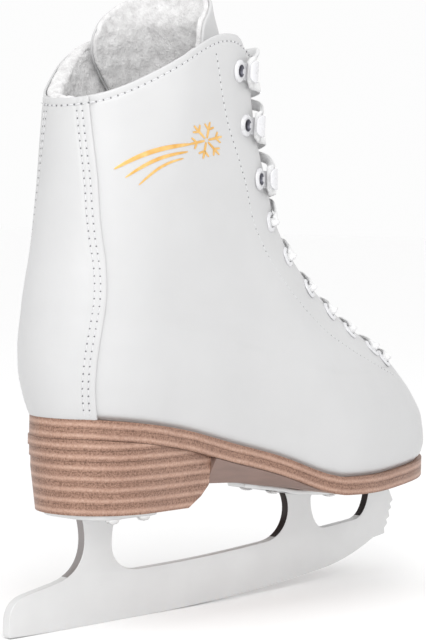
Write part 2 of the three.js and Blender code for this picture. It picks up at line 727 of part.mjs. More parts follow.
add('upper_shell', upperShell(), WHITE_LEATHER);
add('back_panel', backPanel(), WHITE_LEATHER);
add('facing_stay_outer', facingStay(-1), WHITE_LEATHER);
add('facing_stay_inner', facingStay(1), WHITE_LEATHER);
add('boot_lining', lining(), FLEECE);
add('heel_counter', heelCounter(), BOARD_FIBRE);
add('toe_puff', toePuff(), BOARD_FIBRE);
add('tongue_skin', tongueLayer(skinOuter, skinInner), WHITE_LEATHER);
add('tongue_foam', tongueLayer(foamOuter, foamInner), FLEECE);
add('tongue_fleece', tongueLayer(fleeceOuter, fleeceInner), FLEECE);

add('insole', soleLayer(...INSOLE, -9), FLEECE);
add('lasting_board', soleLayer(...BOARD, -3.4), BOARD_FIBRE);
add('shank', shank(), STEEL);
add('midsole', soleLayer(-GAP - MIDSOLE, MIDSOLE_TOP, SOLE_EDGE), STACKED);
add('outsole', outsole(), STACKED);
add('waist_wedge', waistWedge(), material(0xc2a896, 0.7));
for (let i = 0; i < HEEL_LIFTS; i += 1) add(`heel_lift_${i + 1}`, heelLift(i), STACKED);

add('heel_plate', heelPlate(), STEEL);
add('sole_plate', solePlate(), STEEL);
add('blade', blade(), STEEL);
eachRivet((x, y) => upright(rivetProfile, x, y, HEEL_BOTTOM - GAP - PLATE - GAP))
  .forEach((rivet, i) => add(`heel_rivet_${i + 1}`, rivet, STEEL));
eachScrew((x, y) => upright(screwProfile, x, y, plateTop(x) - PLATE - 2 * GAP))
  .forEach((screw, i) => add(`sole_screw_${i + 1}`, screw, STEEL));

for (const [sideName, side] of [['outer', -1], ['inner', 1]]) {
  EYELET_HEIGHTS.forEach((h, i) => {
    add(`eyelet_${sideName}_${i + 1}`, eyelet(h, side), ENAMEL);
  });
  HOOK_HEIGHTS.forEach((h, i) => {
    add(`lace_hook_${sideName}_${i + 1}`, hook(h, side), ENAMEL);
  });
}

const laceLine = [...laceHalf(-1).reverse(), ...laceHalf(1)];
add('lace', sweep(laceLine, LACE_RADIUS), material(0xf6f6f6, 0.9));
add('aglet_1', aglet(laceLine, false), ENAMEL);
add('aglet_2', aglet(laceLine, true), ENAMEL);

export default group;
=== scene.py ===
import math

import bmesh
import bpy
import numpy as np
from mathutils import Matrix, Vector, noise


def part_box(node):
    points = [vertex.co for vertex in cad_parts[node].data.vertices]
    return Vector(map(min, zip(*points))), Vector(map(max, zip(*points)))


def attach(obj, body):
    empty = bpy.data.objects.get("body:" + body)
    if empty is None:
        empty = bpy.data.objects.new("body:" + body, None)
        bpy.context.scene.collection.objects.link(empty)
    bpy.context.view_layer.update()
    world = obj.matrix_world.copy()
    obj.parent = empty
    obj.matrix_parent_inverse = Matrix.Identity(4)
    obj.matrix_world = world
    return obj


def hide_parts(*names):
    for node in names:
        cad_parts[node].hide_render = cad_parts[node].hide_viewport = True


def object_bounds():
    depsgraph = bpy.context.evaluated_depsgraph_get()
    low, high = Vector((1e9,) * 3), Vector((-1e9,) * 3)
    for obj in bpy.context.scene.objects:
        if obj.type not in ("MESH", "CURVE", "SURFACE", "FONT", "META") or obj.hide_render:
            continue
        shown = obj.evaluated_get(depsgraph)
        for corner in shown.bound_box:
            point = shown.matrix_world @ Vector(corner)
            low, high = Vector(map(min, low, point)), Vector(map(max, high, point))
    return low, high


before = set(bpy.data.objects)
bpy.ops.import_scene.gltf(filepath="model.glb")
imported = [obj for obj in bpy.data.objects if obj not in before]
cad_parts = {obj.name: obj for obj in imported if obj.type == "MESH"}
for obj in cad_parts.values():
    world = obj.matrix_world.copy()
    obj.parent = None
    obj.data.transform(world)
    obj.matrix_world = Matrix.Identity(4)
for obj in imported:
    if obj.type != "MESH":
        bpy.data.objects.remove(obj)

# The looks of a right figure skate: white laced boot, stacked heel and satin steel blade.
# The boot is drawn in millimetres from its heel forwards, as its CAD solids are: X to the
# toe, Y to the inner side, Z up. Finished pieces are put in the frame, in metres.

CAD_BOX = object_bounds()

# ------------------------------------------------------------------ driving dimensions

MM = 0.001
HEEL_PLATE_BACK = 13.0
ORIGIN_X = HEEL_PLATE_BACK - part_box("heel_plate")[0].x / MM  # the frame's origin, as drawn

# Height above the sole line, x of the back and of the front, half widths at heel, waist,
# ball and toe, and the length of the front's curve.
OUTLINES = np.array([
    [0, 2, 259.6, 29.5, 30.5, 41, 37, 62],
    [8, -1, 262, 31, 31.5, 43, 38, 62],
    [20, -3.5, 259.5, 32.5, 32, 43.5, 38, 62],
    [30, -4, 251.5, 32.5, 32, 42, 37, 62],
    [38, -3.6, 242, 32, 31.5, 39.5, 34, 62],
    [44, -3, 232, 31.5, 31, 37, 31.5, 60],
    [48, -2.6, 222.5, 31.5, 31, 35, 29.5, 58],
    [54, -1.8, 206, 31, 30.5, 32.5, 27, 54],
    [60, -1, 190.5, 30.5, 30.5, 30.5, 25.5, 50],
    [67, 0.2, 174, 30, 30.5, 29.5, 25, 46],
    [76, 1.6, 157.5, 30, 30.5, 29, 24.5, 43],
    [88, 3, 142, 30, 31, 29, 26, 37],
    [104, 4.8, 131, 30.5, 33, 31, 28, 30],
    [128, 6.2, 118.5, 31.5, 35, 33, 30, 25],
    [151, 7.2, 112, 33, 37, 35, 31.5, 22],
    [190, 8.5, 107, 35, 39.5, 37.5, 33, 20],
], float)
BACK, FRONT, HEEL_HALF, WAIST_HALF, BALL_HALF, TOE_HALF, NOSE = range(1, 8)
INNER_SIDE_EXTRA = [0, -3.5, 1.5, 3]
HEEL_CURVE = 42
SOLE_LINE_X = [-10, 6, 21, 39, 59, 75, 91, 107, 118, 129, 141, 150, 162, 183, 210, 235, 262]
SOLE_LINE_Z = [92.6, 92.5, 91.5, 89.3, 85.8, 82, 78, 74.3, 71.5, 68, 63.6, 60.8, 58.7, 58.3,
               59.5, 60.7, 62.6]
SEAT_Z = 92.5
RIM_BACK, RIM_RISE, RIM_FRONT_DROP = 133, 33.5, 12

LEATHER = 2.2
GAP = 0.3
OUTSOLE, MIDSOLE = 4.4, 3.6
SOLE_EDGE = 1.4
SOLE_STACK = OUTSOLE + MIDSOLE + 2 * GAP
HEEL_BOTTOM = 50.8
HEEL_LIFTS = 7
HEEL_FRONT = 78
WAIST_FRONT = 146
WEDGE_RUNS_OUT = 158
BLADE = 4
PLATE = 2.2
RUNNER_HEIGHT = 21.6
CONTACT_X, CONTACT_HALF = 40, 20
ROCKER_RADIUS = 1300
SPIN_ROCKER_X, SPIN_ROCKER_RADIUS = 195, 150
HEEL_RIVETS_X, HEEL_RIVETS_Y = (28.5, 48.5), 14
SOLE_SCREWS = ((147, 8), (178, 18), (214, 19))

THROAT = 41.5
THROAT_CURVE = 4.7  # height over which the slit opens from its foot
CORNER = 13  # rounding of the facings' top corners
SPREAD_HEIGHTS = [38, 47, 54, 60, 67, 76, 88, 105, 128, 152, 190]
EYELET_SPREAD = [0.088, 0.0885, 0.091, 0.097, 0.105, 0.1145, 0.128, 0.143, 0.159, 0.173, 0.18]
FACING_MARGIN = 9
LINING_MARGIN = 8
EYELET_HEIGHTS = [44, 47.7, 54, 60, 67, 76, 87.5]
HOOK_HEIGHTS = [104.5, 128, 151.5]
TONGUE_DEPTH = 8
TONGUE_FOOT, TONGUE_TOP = 35, 185
TONGUE_REACH = 0.215
LINING_HELD, LINING_FREE = 7.4, 8.6  # how deep the pile reaches at the facings and at the back
FOOTBED_LOW, FOOTBED_HIGH = 5.6, 9.4  # above the sole line
FOOTBED_INSET = 9
STITCH_PITCH = 3.2
TOPLINE_SEAM = 2.7  # below the rim
STRAP_SEAMS = (2.5, 5)  # inside the strap's edge
LACE_SIDES = 14  # points round the lace
SIDES = (("outer", -1), ("inner", 1))

# Seams on the boot: height above the sole line, and how far around from the front or back.
FACING_SEAM = [(34, 0), (37.2, 0.0914), (47.6, 0.140), (56.4, 0.160), (64.5, 0.172), (77.5, 0.178),
               (93, 0.1785), (112.5, 0.190), (127.6, 0.2057), (140.2, 0.2173),
               (154.3, 0.2296), (163.3, 0.245)]
PANEL_EDGE = [(0, 0.063), (11, 0.0635), (21.5, 0.066), (30, 0.0695), (38.5, 0.074), (48, 0.0794),
              (57.5, 0.0843), (65, 0.0858), (76, 0.0827), (93, 0.078), (134, 0.0563)]


# ------------------------------------------------------------------ camera

CAMERA_AZIMUTH = -49.82
CAMERA_ELEVATION = 2.58
CAMERA_ROLL = 1.31
CAMERA_DISTANCE = 1.0064
CAMERA_LENS = 121.25
CAMERA_TARGET = Vector((0.0746, 0.0042, 0.1313))


def make_camera():
    data = bpy.data.cameras.new("camera")
    data.lens = CAMERA_LENS
    data.sensor_width = 36
    camera = bpy.data.objects.new("camera", data)
    azimuth, elevation = math.radians(CAMERA_AZIMUTH), math.radians(CAMERA_ELEVATION)
    back = Vector((
        math.sin(azimuth) * math.cos(elevation),
        -math.cos(azimuth) * math.cos(elevation),
        math.sin(elevation),
    ))
    camera.location = CAMERA_TARGET + back * CAMERA_DISTANCE
    camera.rotation_euler = (-back).to_track_quat("-Z", "Y").to_euler()
    camera.rotation_euler.rotate_axis("Z", math.radians(CAMERA_ROLL))
    bpy.context.scene.collection.objects.link(camera)
    bpy.context.scene.camera = camera


make_camera()


# ------------------------------------------------------------------ curves and the boot's surface


def smoothstep(low, high, x):
    t = np.clip((np.asarray(x, float) - low) / (high - low), 0, 1)
    return t * t * (3 - 2 * t)


def mix(a, b, t):
    return a + (b - a) * t


def curve_at(xs, ys, x):
    """Value at x of a smooth curve through stations, which never overshoots them."""
    xs, x = np.asarray(xs, float), np.asarray(x, float)
    ys = np.stack([np.broadcast_to(np.asarray(y, float), x.shape) for y in ys])
    slopes = np.diff(ys, axis=0) / np.diff(xs).reshape((-1,) + (1,) * x.ndim)
    before, after = slopes[:-1], slopes[1:]
    total = np.where(before + after == 0, 1, before + after)
    inner = np.where(before * after > 0, 2 * before * after / total, 0)
    tangents = np.concatenate([slopes[:1], inner, slopes[-1:]])
    x = np.clip(x, xs[0], xs[-1])
    i = np.clip(np.searchsorted(xs, x) - 1, 0, len(xs) - 2)
    width = xs[i + 1] - xs[i]
    t = (x - xs[i]) / width

    def pick(table, row):
        return np.take_along_axis(table, row[None], 0)[0]

    return (
        (2 * t**3 - 3 * t**2 + 1) * pick(ys, i)
        + (t**3 - 2 * t**2 + t) * width * pick(tangents, i)
        + (3 * t**2 - 2 * t**3) * pick(ys, i + 1)
        + (t**3 - t**2) * width * pick(tangents, i + 1)
    )


def outline_at(column, h):
    return curve_at(OUTLINES[:, 0], OUTLINES[:, column], h)


def sole_z(x):
    return curve_at(SOLE_LINE_X, SOLE_LINE_Z, x)


def quarter_round(t):
    rest = 1 - np.clip(t, 0, 1)
    return np.sqrt(np.maximum(0, 1 - rest**2))


def half_width(h, s, inner):
    """Half width at height h, a share s of the way from the back to the front."""
    length = outline_at(FRONT, h) - outline_at(BACK, h)
    fade = np.where(inner, 1 - smoothstep(0, 60, h), 0)
    columns = (HEEL_HALF, WAIST_HALF, BALL_HALF, TOE_HALF)
    heel, waist, ball, toe = [
        outline_at(column, h) + fade * extra
        for column, extra in zip(columns, INNER_SIDE_EXTRA)
    ]
    along = curve_at([0, 0.13, 0.4, 0.66, 0.86, 1], [heel, heel, waist, ball, toe, toe], s)
    heel_curve = np.minimum(0.45, HEEL_CURVE / length)
    nose_curve = np.minimum(0.5, outline_at(NOSE, h) / length)
    return along * quarter_round(s / heel_curve) * quarter_round((1 - s) / nose_curve)


def surface(h, u):
    """Point of the boot. u is 0 at the front, 0.25 outer side, 0.5 back, 0.75 inner side."""
    h, u = np.broadcast_arrays(np.asarray(h, float), np.asarray(u, float))
    s = (1 + np.cos(2 * np.pi * u)) / 2
    side = -np.sign(np.sin(2 * np.pi * u))
    x = mix(outline_at(BACK, h), outline_at(FRONT, h), s)
    level = smoothstep(15, 105, h)
    z = h + sole_z(x) * (1 - level) + SEAT_Z * level
    return np.stack([x, side * half_width(h, s, side > 0), z], -1)


def unit(vectors):
    return vectors / np.maximum(1e-12, np.linalg.norm(vectors, axis=-1, keepdims=True))


def surface_normal(h, u):
    h = np.asarray(h, float)
    around = surface(h, u + 0.004) - surface(h, u - 0.004)
    up = surface(h + 0.5, u) - surface(np.maximum(0, h - 0.5), u)
    return unit(np.cross(up, around))


def below(h, u, depth):
    h, u, depth = np.broadcast_arrays(*[np.asarray(v, float) for v in (h, u, depth)])
    return surface(h, u) - surface_normal(h, u) * depth[..., None]


def front_u(h, y):
    """u where the surface stands a distance y from the middle plane, near the front."""
    h, y = np.broadcast_arrays(np.asarray(h, float), np.asarray(y, float))
    low, high = np.zeros(h.shape), np.full(h.shape, 0.25)
    for _ in range(24):
        middle = (low + high) / 2
        short = np.abs(surface(h, middle)[..., 1]) < np.abs(y)
        low, high = np.where(short, middle, low), np.where(short, high, middle)
    return np.where(y < 0, low, 1 - low)


def mm_per_turn(h, u):
    """Millimetres along the surface for each unit of u."""
    return np.linalg.norm(surface(h, u + 0.004) - surface(h, u - 0.004), axis=-1) / 0.008


def rim_height(u):
    s = (1 + np.cos(2 * np.pi * np.asarray(u))) / 2
    rise = RIM_RISE * smoothstep(-0.12, 0.66, s)
    return RIM_BACK + rise - RIM_FRONT_DROP * smoothstep(0.68, 1.05, s)


def eyelet_u(h):
    """How far around from the front the eyelets are, as a share of the turn."""
    return curve_at(SPREAD_HEIGHTS, EYELET_SPREAD, h)


def on_side(side, share):
    """u of a share of the turn, counted from the front towards one side."""
    return share if side < 0 else 1 - share


def eyelet_axis(h, side):
    """Where the boot's surface is at an eyelet or a hook, and which way is out there."""
    u = on_side(side, float(eyelet_u(h)))
    return surface(h, u), surface_normal(h, u)


def beside_eyelets(h, distance):
    """Share of the turn a distance in mm behind the row of eyelets, or before it if negative."""
    return eyelet_u(h) + distance / mm_per_turn(h, eyelet_u(h))


def facing_seam(h):
    return curve_at(*zip(*FACING_SEAM), h)


def panel_edge(h):
    return curve_at(*zip(*PANEL_EDGE), h)


def eased(count, reach=1.0):
    """Steps from 0 to 1 that lie closer together towards both ends."""
    return (1 - np.cos(np.linspace(0, np.pi, count) * reach)) / 2


def travelled(points):
    """Distance along a line up to each of its points."""
    steps = np.linalg.norm(np.diff(points, axis=0), axis=1)
    return np.concatenate([[0], np.cumsum(steps)])


# ------------------------------------------------------------------ meshes


def make_piece(name, points, faces, materials, body="boot", sharp=40):
    """A mesh piece from points in the drawing's millimetres, riding on a body."""
    mesh = bpy.data.meshes.new(name)
    placed = (np.asarray(points, float) - [ORIGIN_X, 0, 0]) * MM
    mesh.from_pydata(placed.tolist(), [], [list(face) for face in faces])
    for finish in materials if isinstance(materials, (list, tuple)) else [materials]:
        mesh.materials.append(finish)
    work = bmesh.new()
    work.from_mesh(mesh)
    bmesh.ops.recalc_face_normals(work, faces=work.faces)
    work.to_mesh(mesh)
    work.free()
    mesh.shade_smooth()
    mesh.set_sharp_from_angle(angle=math.radians(sharp))
    piece = bpy.data.objects.new(name, mesh)
    bpy.context.scene.collection.objects.link(piece)
    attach(piece, body)
    return piece


def two_finishes(piece, first_faces):
    """Gives the first faces a piece's first finish, and the others its second one."""
    for polygon in piece.data.polygons:
        polygon.material_index = 0 if polygon.index < first_faces else 1


def apply_modifier(piece, kind, **settings):
    modifier = piece.modifiers.new(kind.lower(), kind)
    for key, value in settings.items():
        setattr(modifier, key, value)
    with bpy.context.temp_override(object=piece, active_object=piece, selected_objects=[piece]):
        bpy.ops.object.modifier_apply(modifier=modifier.name)


def open_ids(rows, columns):
    """Numbers of the points of a grid that is open all round."""
    return np.arange(rows * columns).reshape(rows, columns)


def perimeter(ids):
    return np.concatenate([ids[0, :-1], ids[:-1, -1], ids[-1, :0:-1], ids[:0:-1, 0]])


def layered_solid(outer, inner, ids, borders, bulge=0.6, square=1.0, steps=4):
    """Closed solid between two matching grids of points, with rounded borders.

    Grid places with the same number are the same point. Each border is a closed loop of
    such numbers. bulge is how far it stands out, and square below 1 makes it boxier.
    """
    count = ids.max() + 1
    points = np.zeros((2 * count, 3))
    points[ids.ravel()] = outer.reshape(-1, 3)
    points[count + ids.ravel()] = inner.reshape(-1, 3)
    quads = np.stack([ids[:-1, :-1], ids[:-1, 1:], ids[1:, 1:], ids[1:, :-1]], -1).reshape(-1, 4)
    faces = quads.tolist() + (quads[:, ::-1] + count).tolist()
    middle = points.mean(0)
    for border in borders:
        top, bottom = points[border], points[count + border]
        centre, half = (top + bottom) / 2, (top - bottom) / 2
        along = np.roll(centre, -1, 0) - np.roll(centre, 1, 0)
        out = unit(np.cross(along, half))
        if np.sum(out * (centre - middle)) < 0:
            out = -out
        rings = [border]
        for angle in np.linspace(0, np.pi, steps + 2)[1:-1]:
            across = np.sign(np.cos(angle)) * abs(np.cos(angle)) ** square
            reach = np.sin(angle) ** square * bulge
            rings.append(np.arange(len(points), len(points) + len(border)))
            points = np.vstack([points, centre + half * across + out * reach])
        rings.append(count + border)
        for first, second in zip(rings, rings[1:]):
            nexts = np.roll(first, -1), np.roll(second, -1)
            faces += np.stack([first, nexts[0], nexts[1], second], -1).tolist()
    faces = [list(dict.fromkeys(face)) for face in faces]
    return points, [face for face in faces if len(face) > 2]


def sheet(outer, inner, bulge, square=1.0, steps=4):
    """Closed solid between two matching grids of points that are open all round."""
    ids = open_ids(*outer.shape[:2])
    return layered_solid(outer, inner, ids, [perimeter(ids)], bulge, square, steps)


def row_grid(x, y, z):
    """Grid of points whose rows each have one x and one z."""
    x, z = np.broadcast_arrays(x, z)
    return np.stack(np.broadcast_arrays(x[:, None], y, z[:, None]), -1)


def tube(loops):
    """Closed skin over a row of matching loops of points."""
    size, count = len(loops[0]), len(loops)
    faces = []
    for i in range(count - 1):
        for k in range(size):
            n = (k + 1) % size
            faces.append([i * size + k, i * size + n, (i + 1) * size + n, (i + 1) * size + k])
    faces += [list(range(size)), [(count - 1) * size + k for k in range(size)][::-1]]
    return np.concatenate(loops), faces


def turned(profile, origin, axis, segments=32):
    """Points and faces of a profile of (radius, height) turned about an axis."""
    axis = unit(np.asarray(axis, float))
    helper = np.array([0, 0, 1.0]) if abs(axis[2]) < 0.9 else np.array([1.0, 0, 0])
    first = unit(np.cross(axis, helper))
    second = np.cross(axis, first)
    angles = np.linspace(0, 2 * np.pi, segments, endpoint=False)
    spokes = np.cos(angles)[:, None] * first + np.sin(angles)[:, None] * second
    points = np.concatenate([origin + axis * z + spokes * r for r, z in profile])
    faces = []
    for i in range(len(profile)):
        j = (i + 1) % len(profile)
        if profile[i][0] < 1e-6 and profile[j][0] < 1e-6:
            continue
        for k in range(segments):
            n = (k + 1) % segments
            faces.append([i * segments + k, i * segments + n, j * segments + n, j * segments + k])
    return weld(points, faces)


def weld(points, faces, reach=1e-4):
    """Joins points that coincide and drops the faces that vanish."""
    _, keep, number = np.unique(
        np.round(points / reach).astype(np.int64), axis=0, return_index=True, return_inverse=True
    )
    number = number.ravel()
    welded = [list(dict.fromkeys(number[face].tolist())) for face in faces]
    return points[keep], [face for face in welded if len(face) > 2]


def merged(parts):
    """One set of points and faces out of several."""
    points, faces, start = [], [], 0
    for some_points, some_faces in parts:
        points.append(some_points)
        faces += [[start + i for i in face] for face in some_faces]
        start += len(some_points)
    return np.concatenate(points), faces


def roughen(points, strength, size, seed):
    """Moves points by smooth noise of a given size in millimetres, the same on every run."""
    noise.seed_set(seed)
    moves = np.array([noise.noise_vector(Vector(p) / size) for p in points])
    return points + moves * strength


# ------------------------------------------------------------------ materials


def new_material(name, color, roughness, metallic=0.0, **sockets):
    material = bpy.data.materials.new(name)
    material.use_nodes = True
    shader = material.node_tree.nodes["Principled BSDF"]
    shader.inputs["Base Color"].default_value = (*color, 1)
    shader.inputs["Roughness"].default_value = roughness
    shader.inputs["Metallic"].default_value = metallic
    for key, value in sockets.items():
        shader.inputs[key.replace("_", " ")].default_value = value
    return material


def add_node(material, kind, **settings):
    node = material.node_tree.nodes.new(kind)
    for key, value in settings.items():
        if key in node.inputs:
            node.inputs[key].default_value = value
        else:
            setattr(node, key, value)
    return node


def connect(material, source, target):
    material.node_tree.links.new(source, target)


def object_place(material, stretch=(1, 1, 1)):
    """Place on the object in metres, stretched along its axes."""
    coordinates = add_node(material, "ShaderNodeTexCoord")
    mapping = add_node(material, "ShaderNodeMapping", Scale=stretch)
    connect(material, coordinates.outputs["Object"], mapping.inputs["Vector"])
    return mapping.outputs["Vector"]


def noise_value(material, scale, detail=2.0, roughness=0.5, stretch=(1, 1, 1)):
    texture = add_node(
        material, "ShaderNodeTexNoise", Scale=scale, Detail=detail, Roughness=roughness
    )
    connect(material, object_place(material, stretch), texture.inputs["Vector"])
    return texture.outputs["Fac"]


def color_ramp(material, value, stops):
    ramp = add_node(material, "ShaderNodeValToRGB")
    elements = ramp.color_ramp.elements
    while len(elements) < len(stops):
        elements.new(0.5)
    for element, (position, color) in zip(elements, stops):
        element.position = position
        element.color = (*color, 1)
    connect(material, value, ramp.inputs["Fac"])
    return ramp.outputs["Color"]


def mix_colors(material, share, first, second, blend="MIX"):
    node = add_node(material, "ShaderNodeMix", data_type="RGBA", blend_type=blend)
    for socket, value in ((node.inputs["Factor"], share), (node.inputs[6], first),
                          (node.inputs[7], second)):
        if isinstance(value, bpy.types.NodeSocket):
            connect(material, value, socket)
        else:
            socket.default_value = value
    return node.outputs[2]


def set_color(material, socket):
    connect(material, socket, material.node_tree.nodes["Principled BSDF"].inputs["Base Color"])


def two_tones(material, value, dark, light, low=0.3, high=0.7):
    """Colours a material from a dark tone to a light one, as a value goes from low to high."""
    set_color(material, color_ramp(material, value, [(low, dark), (high, light)]))


def set_roughness(material, value, low, high):
    span = add_node(material, "ShaderNodeMapRange")
    span.inputs["To Min"].default_value = low
    span.inputs["To Max"].default_value = high
    connect(material, value, span.inputs["Value"])
    shader = material.node_tree.nodes["Principled BSDF"]
    connect(material, span.outputs["Result"], shader.inputs["Roughness"])


def add_bump(material, value, distance, strength=1.0):
    """Adds a layer of relief, its depth in metres, over the ones already there."""
    shader = material.node_tree.nodes["Principled BSDF"]
    bump = add_node(material, "ShaderNodeBump", Distance=distance, Strength=strength)
    if shader.inputs["Normal"].is_linked:
        earlier = shader.inputs["Normal"].links[0].from_socket
        connect(material, earlier, bump.inputs["Normal"])
    connect(material, value, bump.inputs["Height"])
    connect(material, bump.outputs["Normal"], shader.inputs["Normal"])


def leather_material(name, color, roughness=0.42):
    """Smooth coated leather: fine creased grain, faint clouding, satin gloss."""
    material = new_material(name, color, roughness, Coat_Weight=0.12, Coat_Roughness=0.35)
    clouds = noise_value(material, 28, detail=3)
    two_tones(material, clouds, tuple(c * 0.955 for c in color), color)
    grain = add_node(material, "ShaderNodeTexVoronoi", Scale=1300.0, feature="DISTANCE_TO_EDGE")
    connect(material, object_place(material), grain.inputs["Vector"])
    worn = noise_value(material, 420, detail=2)
    set_roughness(material, worn, roughness - 0.06, roughness + 0.08)
    add_bump(material, grain.outputs["Distance"], 0.00006, 0.35)
    add_bump(material, noise_value(material, 90, detail=4), 0.00025, 0.3)
    return material


def fleece_material():
    """Brushed pile: clumps painted darker in their dips as shade, and fine fibres over them."""
    material = new_material("fleece", (0.66, 0.65, 0.645), 0.95, Sheen_Weight=0.4,
                            Sheen_Roughness=0.6)
    clumps_and_dip_shade = noise_value(material, 260, detail=5, roughness=0.65)
    # The pile's relief is painted darker in its dips, as shade between the clumps.
    set_color(material, color_ramp(material, clumps_and_dip_shade, [
        (0.3, (0.56, 0.55, 0.552)), (0.5, (0.69, 0.685, 0.685)), (0.7, (0.80, 0.795, 0.795)),
    ]))
    add_bump(material, clumps_and_dip_shade, 0.0016, 0.8)
    add_bump(material, noise_value(material, 1500, detail=3, stretch=(1, 1, 0.35)), 0.0004, 0.7)
    return material


def cloth_material():
    """Cloth top of the footbed: a plain weave of 0.8 mm."""
    material = new_material("footbed_cloth", (0.6, 0.59, 0.57), 0.9, Sheen_Weight=0.2)
    relief = []
    for direction in ("X", "Y"):
        wave = add_node(material, "ShaderNodeTexWave", Scale=200.0, bands_direction=direction)
        connect(material, object_place(material), wave.inputs["Vector"])
        relief.append(wave.outputs["Fac"])
    weave = mix_colors(material, 0.5, *relief)
    two_tones(material, weave, (0.48, 0.47, 0.45), (0.66, 0.65, 0.63), 0.2, 0.8)
    add_bump(material, weave, 0.0002, 0.8)
    return material


def lace_material():
    """Flat woven lace: a herringbone of fine yarn, slightly fuzzy."""
    material = new_material("lace_cotton", (0.86, 0.86, 0.865), 0.85, Sheen_Weight=0.35)
    coordinates = add_node(material, "ShaderNodeUVMap")
    weave = add_node(material, "ShaderNodeTexWave", Scale=0.9, bands_direction="DIAGONAL",
                     Distortion=0.6)
    weave.inputs["Detail"].default_value = 1
    connect(material, coordinates.outputs["UV"], weave.inputs["Vector"])
    pattern = weave.outputs["Fac"]
    two_tones(material, pattern, (0.80, 0.80, 0.805), (0.93, 0.93, 0.93), 0.15, 0.55)
    add_bump(material, pattern, 0.00025, 0.8)
    add_bump(material, noise_value(material, 2600, detail=2), 0.0001, 0.5)
    return material


def speckled(material, base, dark, light, grain):
    """Ground cork and leather fibre: fine dark and light specks over a base colour."""
    specks = noise_value(material, grain, detail=3, roughness=0.75)
    return color_ramp(material, specks, [(0.36, dark), (0.5, base), (0.66, light)])


def stacked_material(name, wave_height):
    """Stacked heel leather: speckled red-brown with a soft light line in every layer.

    The lines wander up and down by wave_height, as a share of a layer.
    """
    material = new_material(name, (0.45, 0.28, 0.22), 0.5, Coat_Weight=0.15,
                            Coat_Roughness=0.3)
    body = speckled(material, (0.275, 0.151, 0.102), (0.142, 0.066, 0.038),
                    (0.37, 0.22, 0.156), 1250)
    layer = add_node(material, "ShaderNodeAttribute", attribute_name="layer")
    wobble = noise_value(material, 30, detail=2, stretch=(1, 1, 0.2))
    bent = add_node(material, "ShaderNodeMath", operation="MULTIPLY_ADD")
    connect(material, wobble, bent.inputs[0])
    bent.inputs[1].default_value = wave_height
    connect(material, layer.outputs["Fac"], bent.inputs[2])
    phase = add_node(material, "ShaderNodeMath", operation="FRACT")
    connect(material, bent.outputs[0], phase.inputs[0])
    line = color_ramp(material, phase.outputs[0], [
        (0.26, (0, 0, 0)), (0.44, (0.9, 0.9, 0.9)), (0.56, (0.9, 0.9, 0.9)), (0.78, (0, 0, 0)),
    ])
    pale = speckled(material, (0.475, 0.295, 0.22), (0.395, 0.225, 0.156),
                    (0.54, 0.36, 0.28), 1000)
    striped = mix_colors(material, line, body, pale)
    blotches = noise_value(material, 45, detail=3)
    shading = color_ramp(material, blotches, [(0.3, (0.86, 0.84, 0.84)), (0.7, (1, 1, 1))])
    set_color(material, mix_colors(material, 1.0, striped, shading, "MULTIPLY"))
    set_roughness(material, noise_value(material, 700, detail=2), 0.42, 0.62)
    add_bump(material, noise_value(material, 1500, detail=3), 0.00012, 0.4)
    return material


def plain_wood_material():
    """Underside of the waist: greyish beige, buffed, with faint brush marks."""
    material = new_material("waist_underside", (0.33, 0.245, 0.21), 0.5)
    streaks = noise_value(material, 350, detail=4, stretch=(0.12, 1, 1))
    two_tones(material, streaks, (0.2, 0.134, 0.112), (0.25, 0.166, 0.14))
    set_roughness(material, streaks, 0.4, 0.6)
    add_bump(material, streaks, 0.00008, 0.4)
    return material


def steel_material(name, color, roughness, grind=(0.02, 1, 1), metallic=1.0):
    """Satin steel with fine grinding marks along one direction."""
    material = new_material(name, color, roughness, metallic=metallic)
    marks = noise_value(material, 2600, detail=3, stretch=grind)
    smudges = noise_value(material, 35, detail=3)
    two_tones(material, smudges, tuple(c * 0.94 for c in color), color)
    set_roughness(material, marks, roughness - 0.07, roughness + 0.1)
    add_bump(material, marks, 0.00004, 0.4)
    return material


def enamel_material():
    """White stove enamel on metal, with orange peel and small wear."""
    material = new_material("white_enamel", (0.68, 0.68, 0.695), 0.3, Coat_Weight=0.5,
                            Coat_Roughness=0.12)
    wear = noise_value(material, 320, detail=4)
    two_tones(material, wear, (0.55, 0.55, 0.565), (0.66, 0.66, 0.675), 0.28, 0.42)
    set_roughness(material, wear, 0.34, 0.2)
    add_bump(material, noise_value(material, 900, detail=1), 0.00004, 0.5)
    return material


def thread_material():
    """Twisted sewing thread."""
    material = new_material("thread", (0.66, 0.66, 0.67), 0.7, Sheen_Weight=0.2)
    twist = noise_value(material, 2400, detail=2, stretch=(1, 1, 3))
    two_tones(material, twist, (0.52, 0.52, 0.53), (0.74, 0.74, 0.75))
    add_bump(material, twist, 0.0001, 0.6)
    return material


# Painted shade of the needle holes: small dark discs between the stitches.
def needle_hole_shade_material():
    material = new_material("needle_hole_painted_shade", (0.16, 0.16, 0.17), 0.9)
    two_tones(material, noise_value(material, 1800), (0.12, 0.12, 0.13), (0.22, 0.22, 0.23))
    return material


def gold_material():
    """Gold foil print: warm, slightly uneven."""
    material = new_material("gold_foil", (0.83, 0.50, 0.16), 0.35, metallic=0.55)
    foil = noise_value(material, 240, detail=4)
    two_tones(material, foil, (0.74, 0.40, 0.10), (0.90, 0.60, 0.24))
    set_roughness(material, foil, 0.28, 0.5)
    add_bump(material, noise_value(material, 1600), 0.00004, 0.5)
    return material


def fibre_board_material():
    base = (0.40, 0.30, 0.20)
    material = new_material("fibre_board", base, 0.85)
    set_color(material, speckled(material, base, (0.26, 0.18, 0.11), (0.52, 0.42, 0.31), 900))
    add_bump(material, noise_value(material, 900, detail=4), 0.0002, 0.6)
    return material


def film_material():
    material = new_material("aglet_film", (0.80, 0.80, 0.82), 0.18, Coat_Weight=0.6)
    folds = noise_value(material, 500, stretch=(1, 1, 0.2))
    two_tones(material, folds, (0.70, 0.70, 0.73), (0.84, 0.84, 0.86))
    add_bump(material, folds, 0.0001, 0.5)
    return material


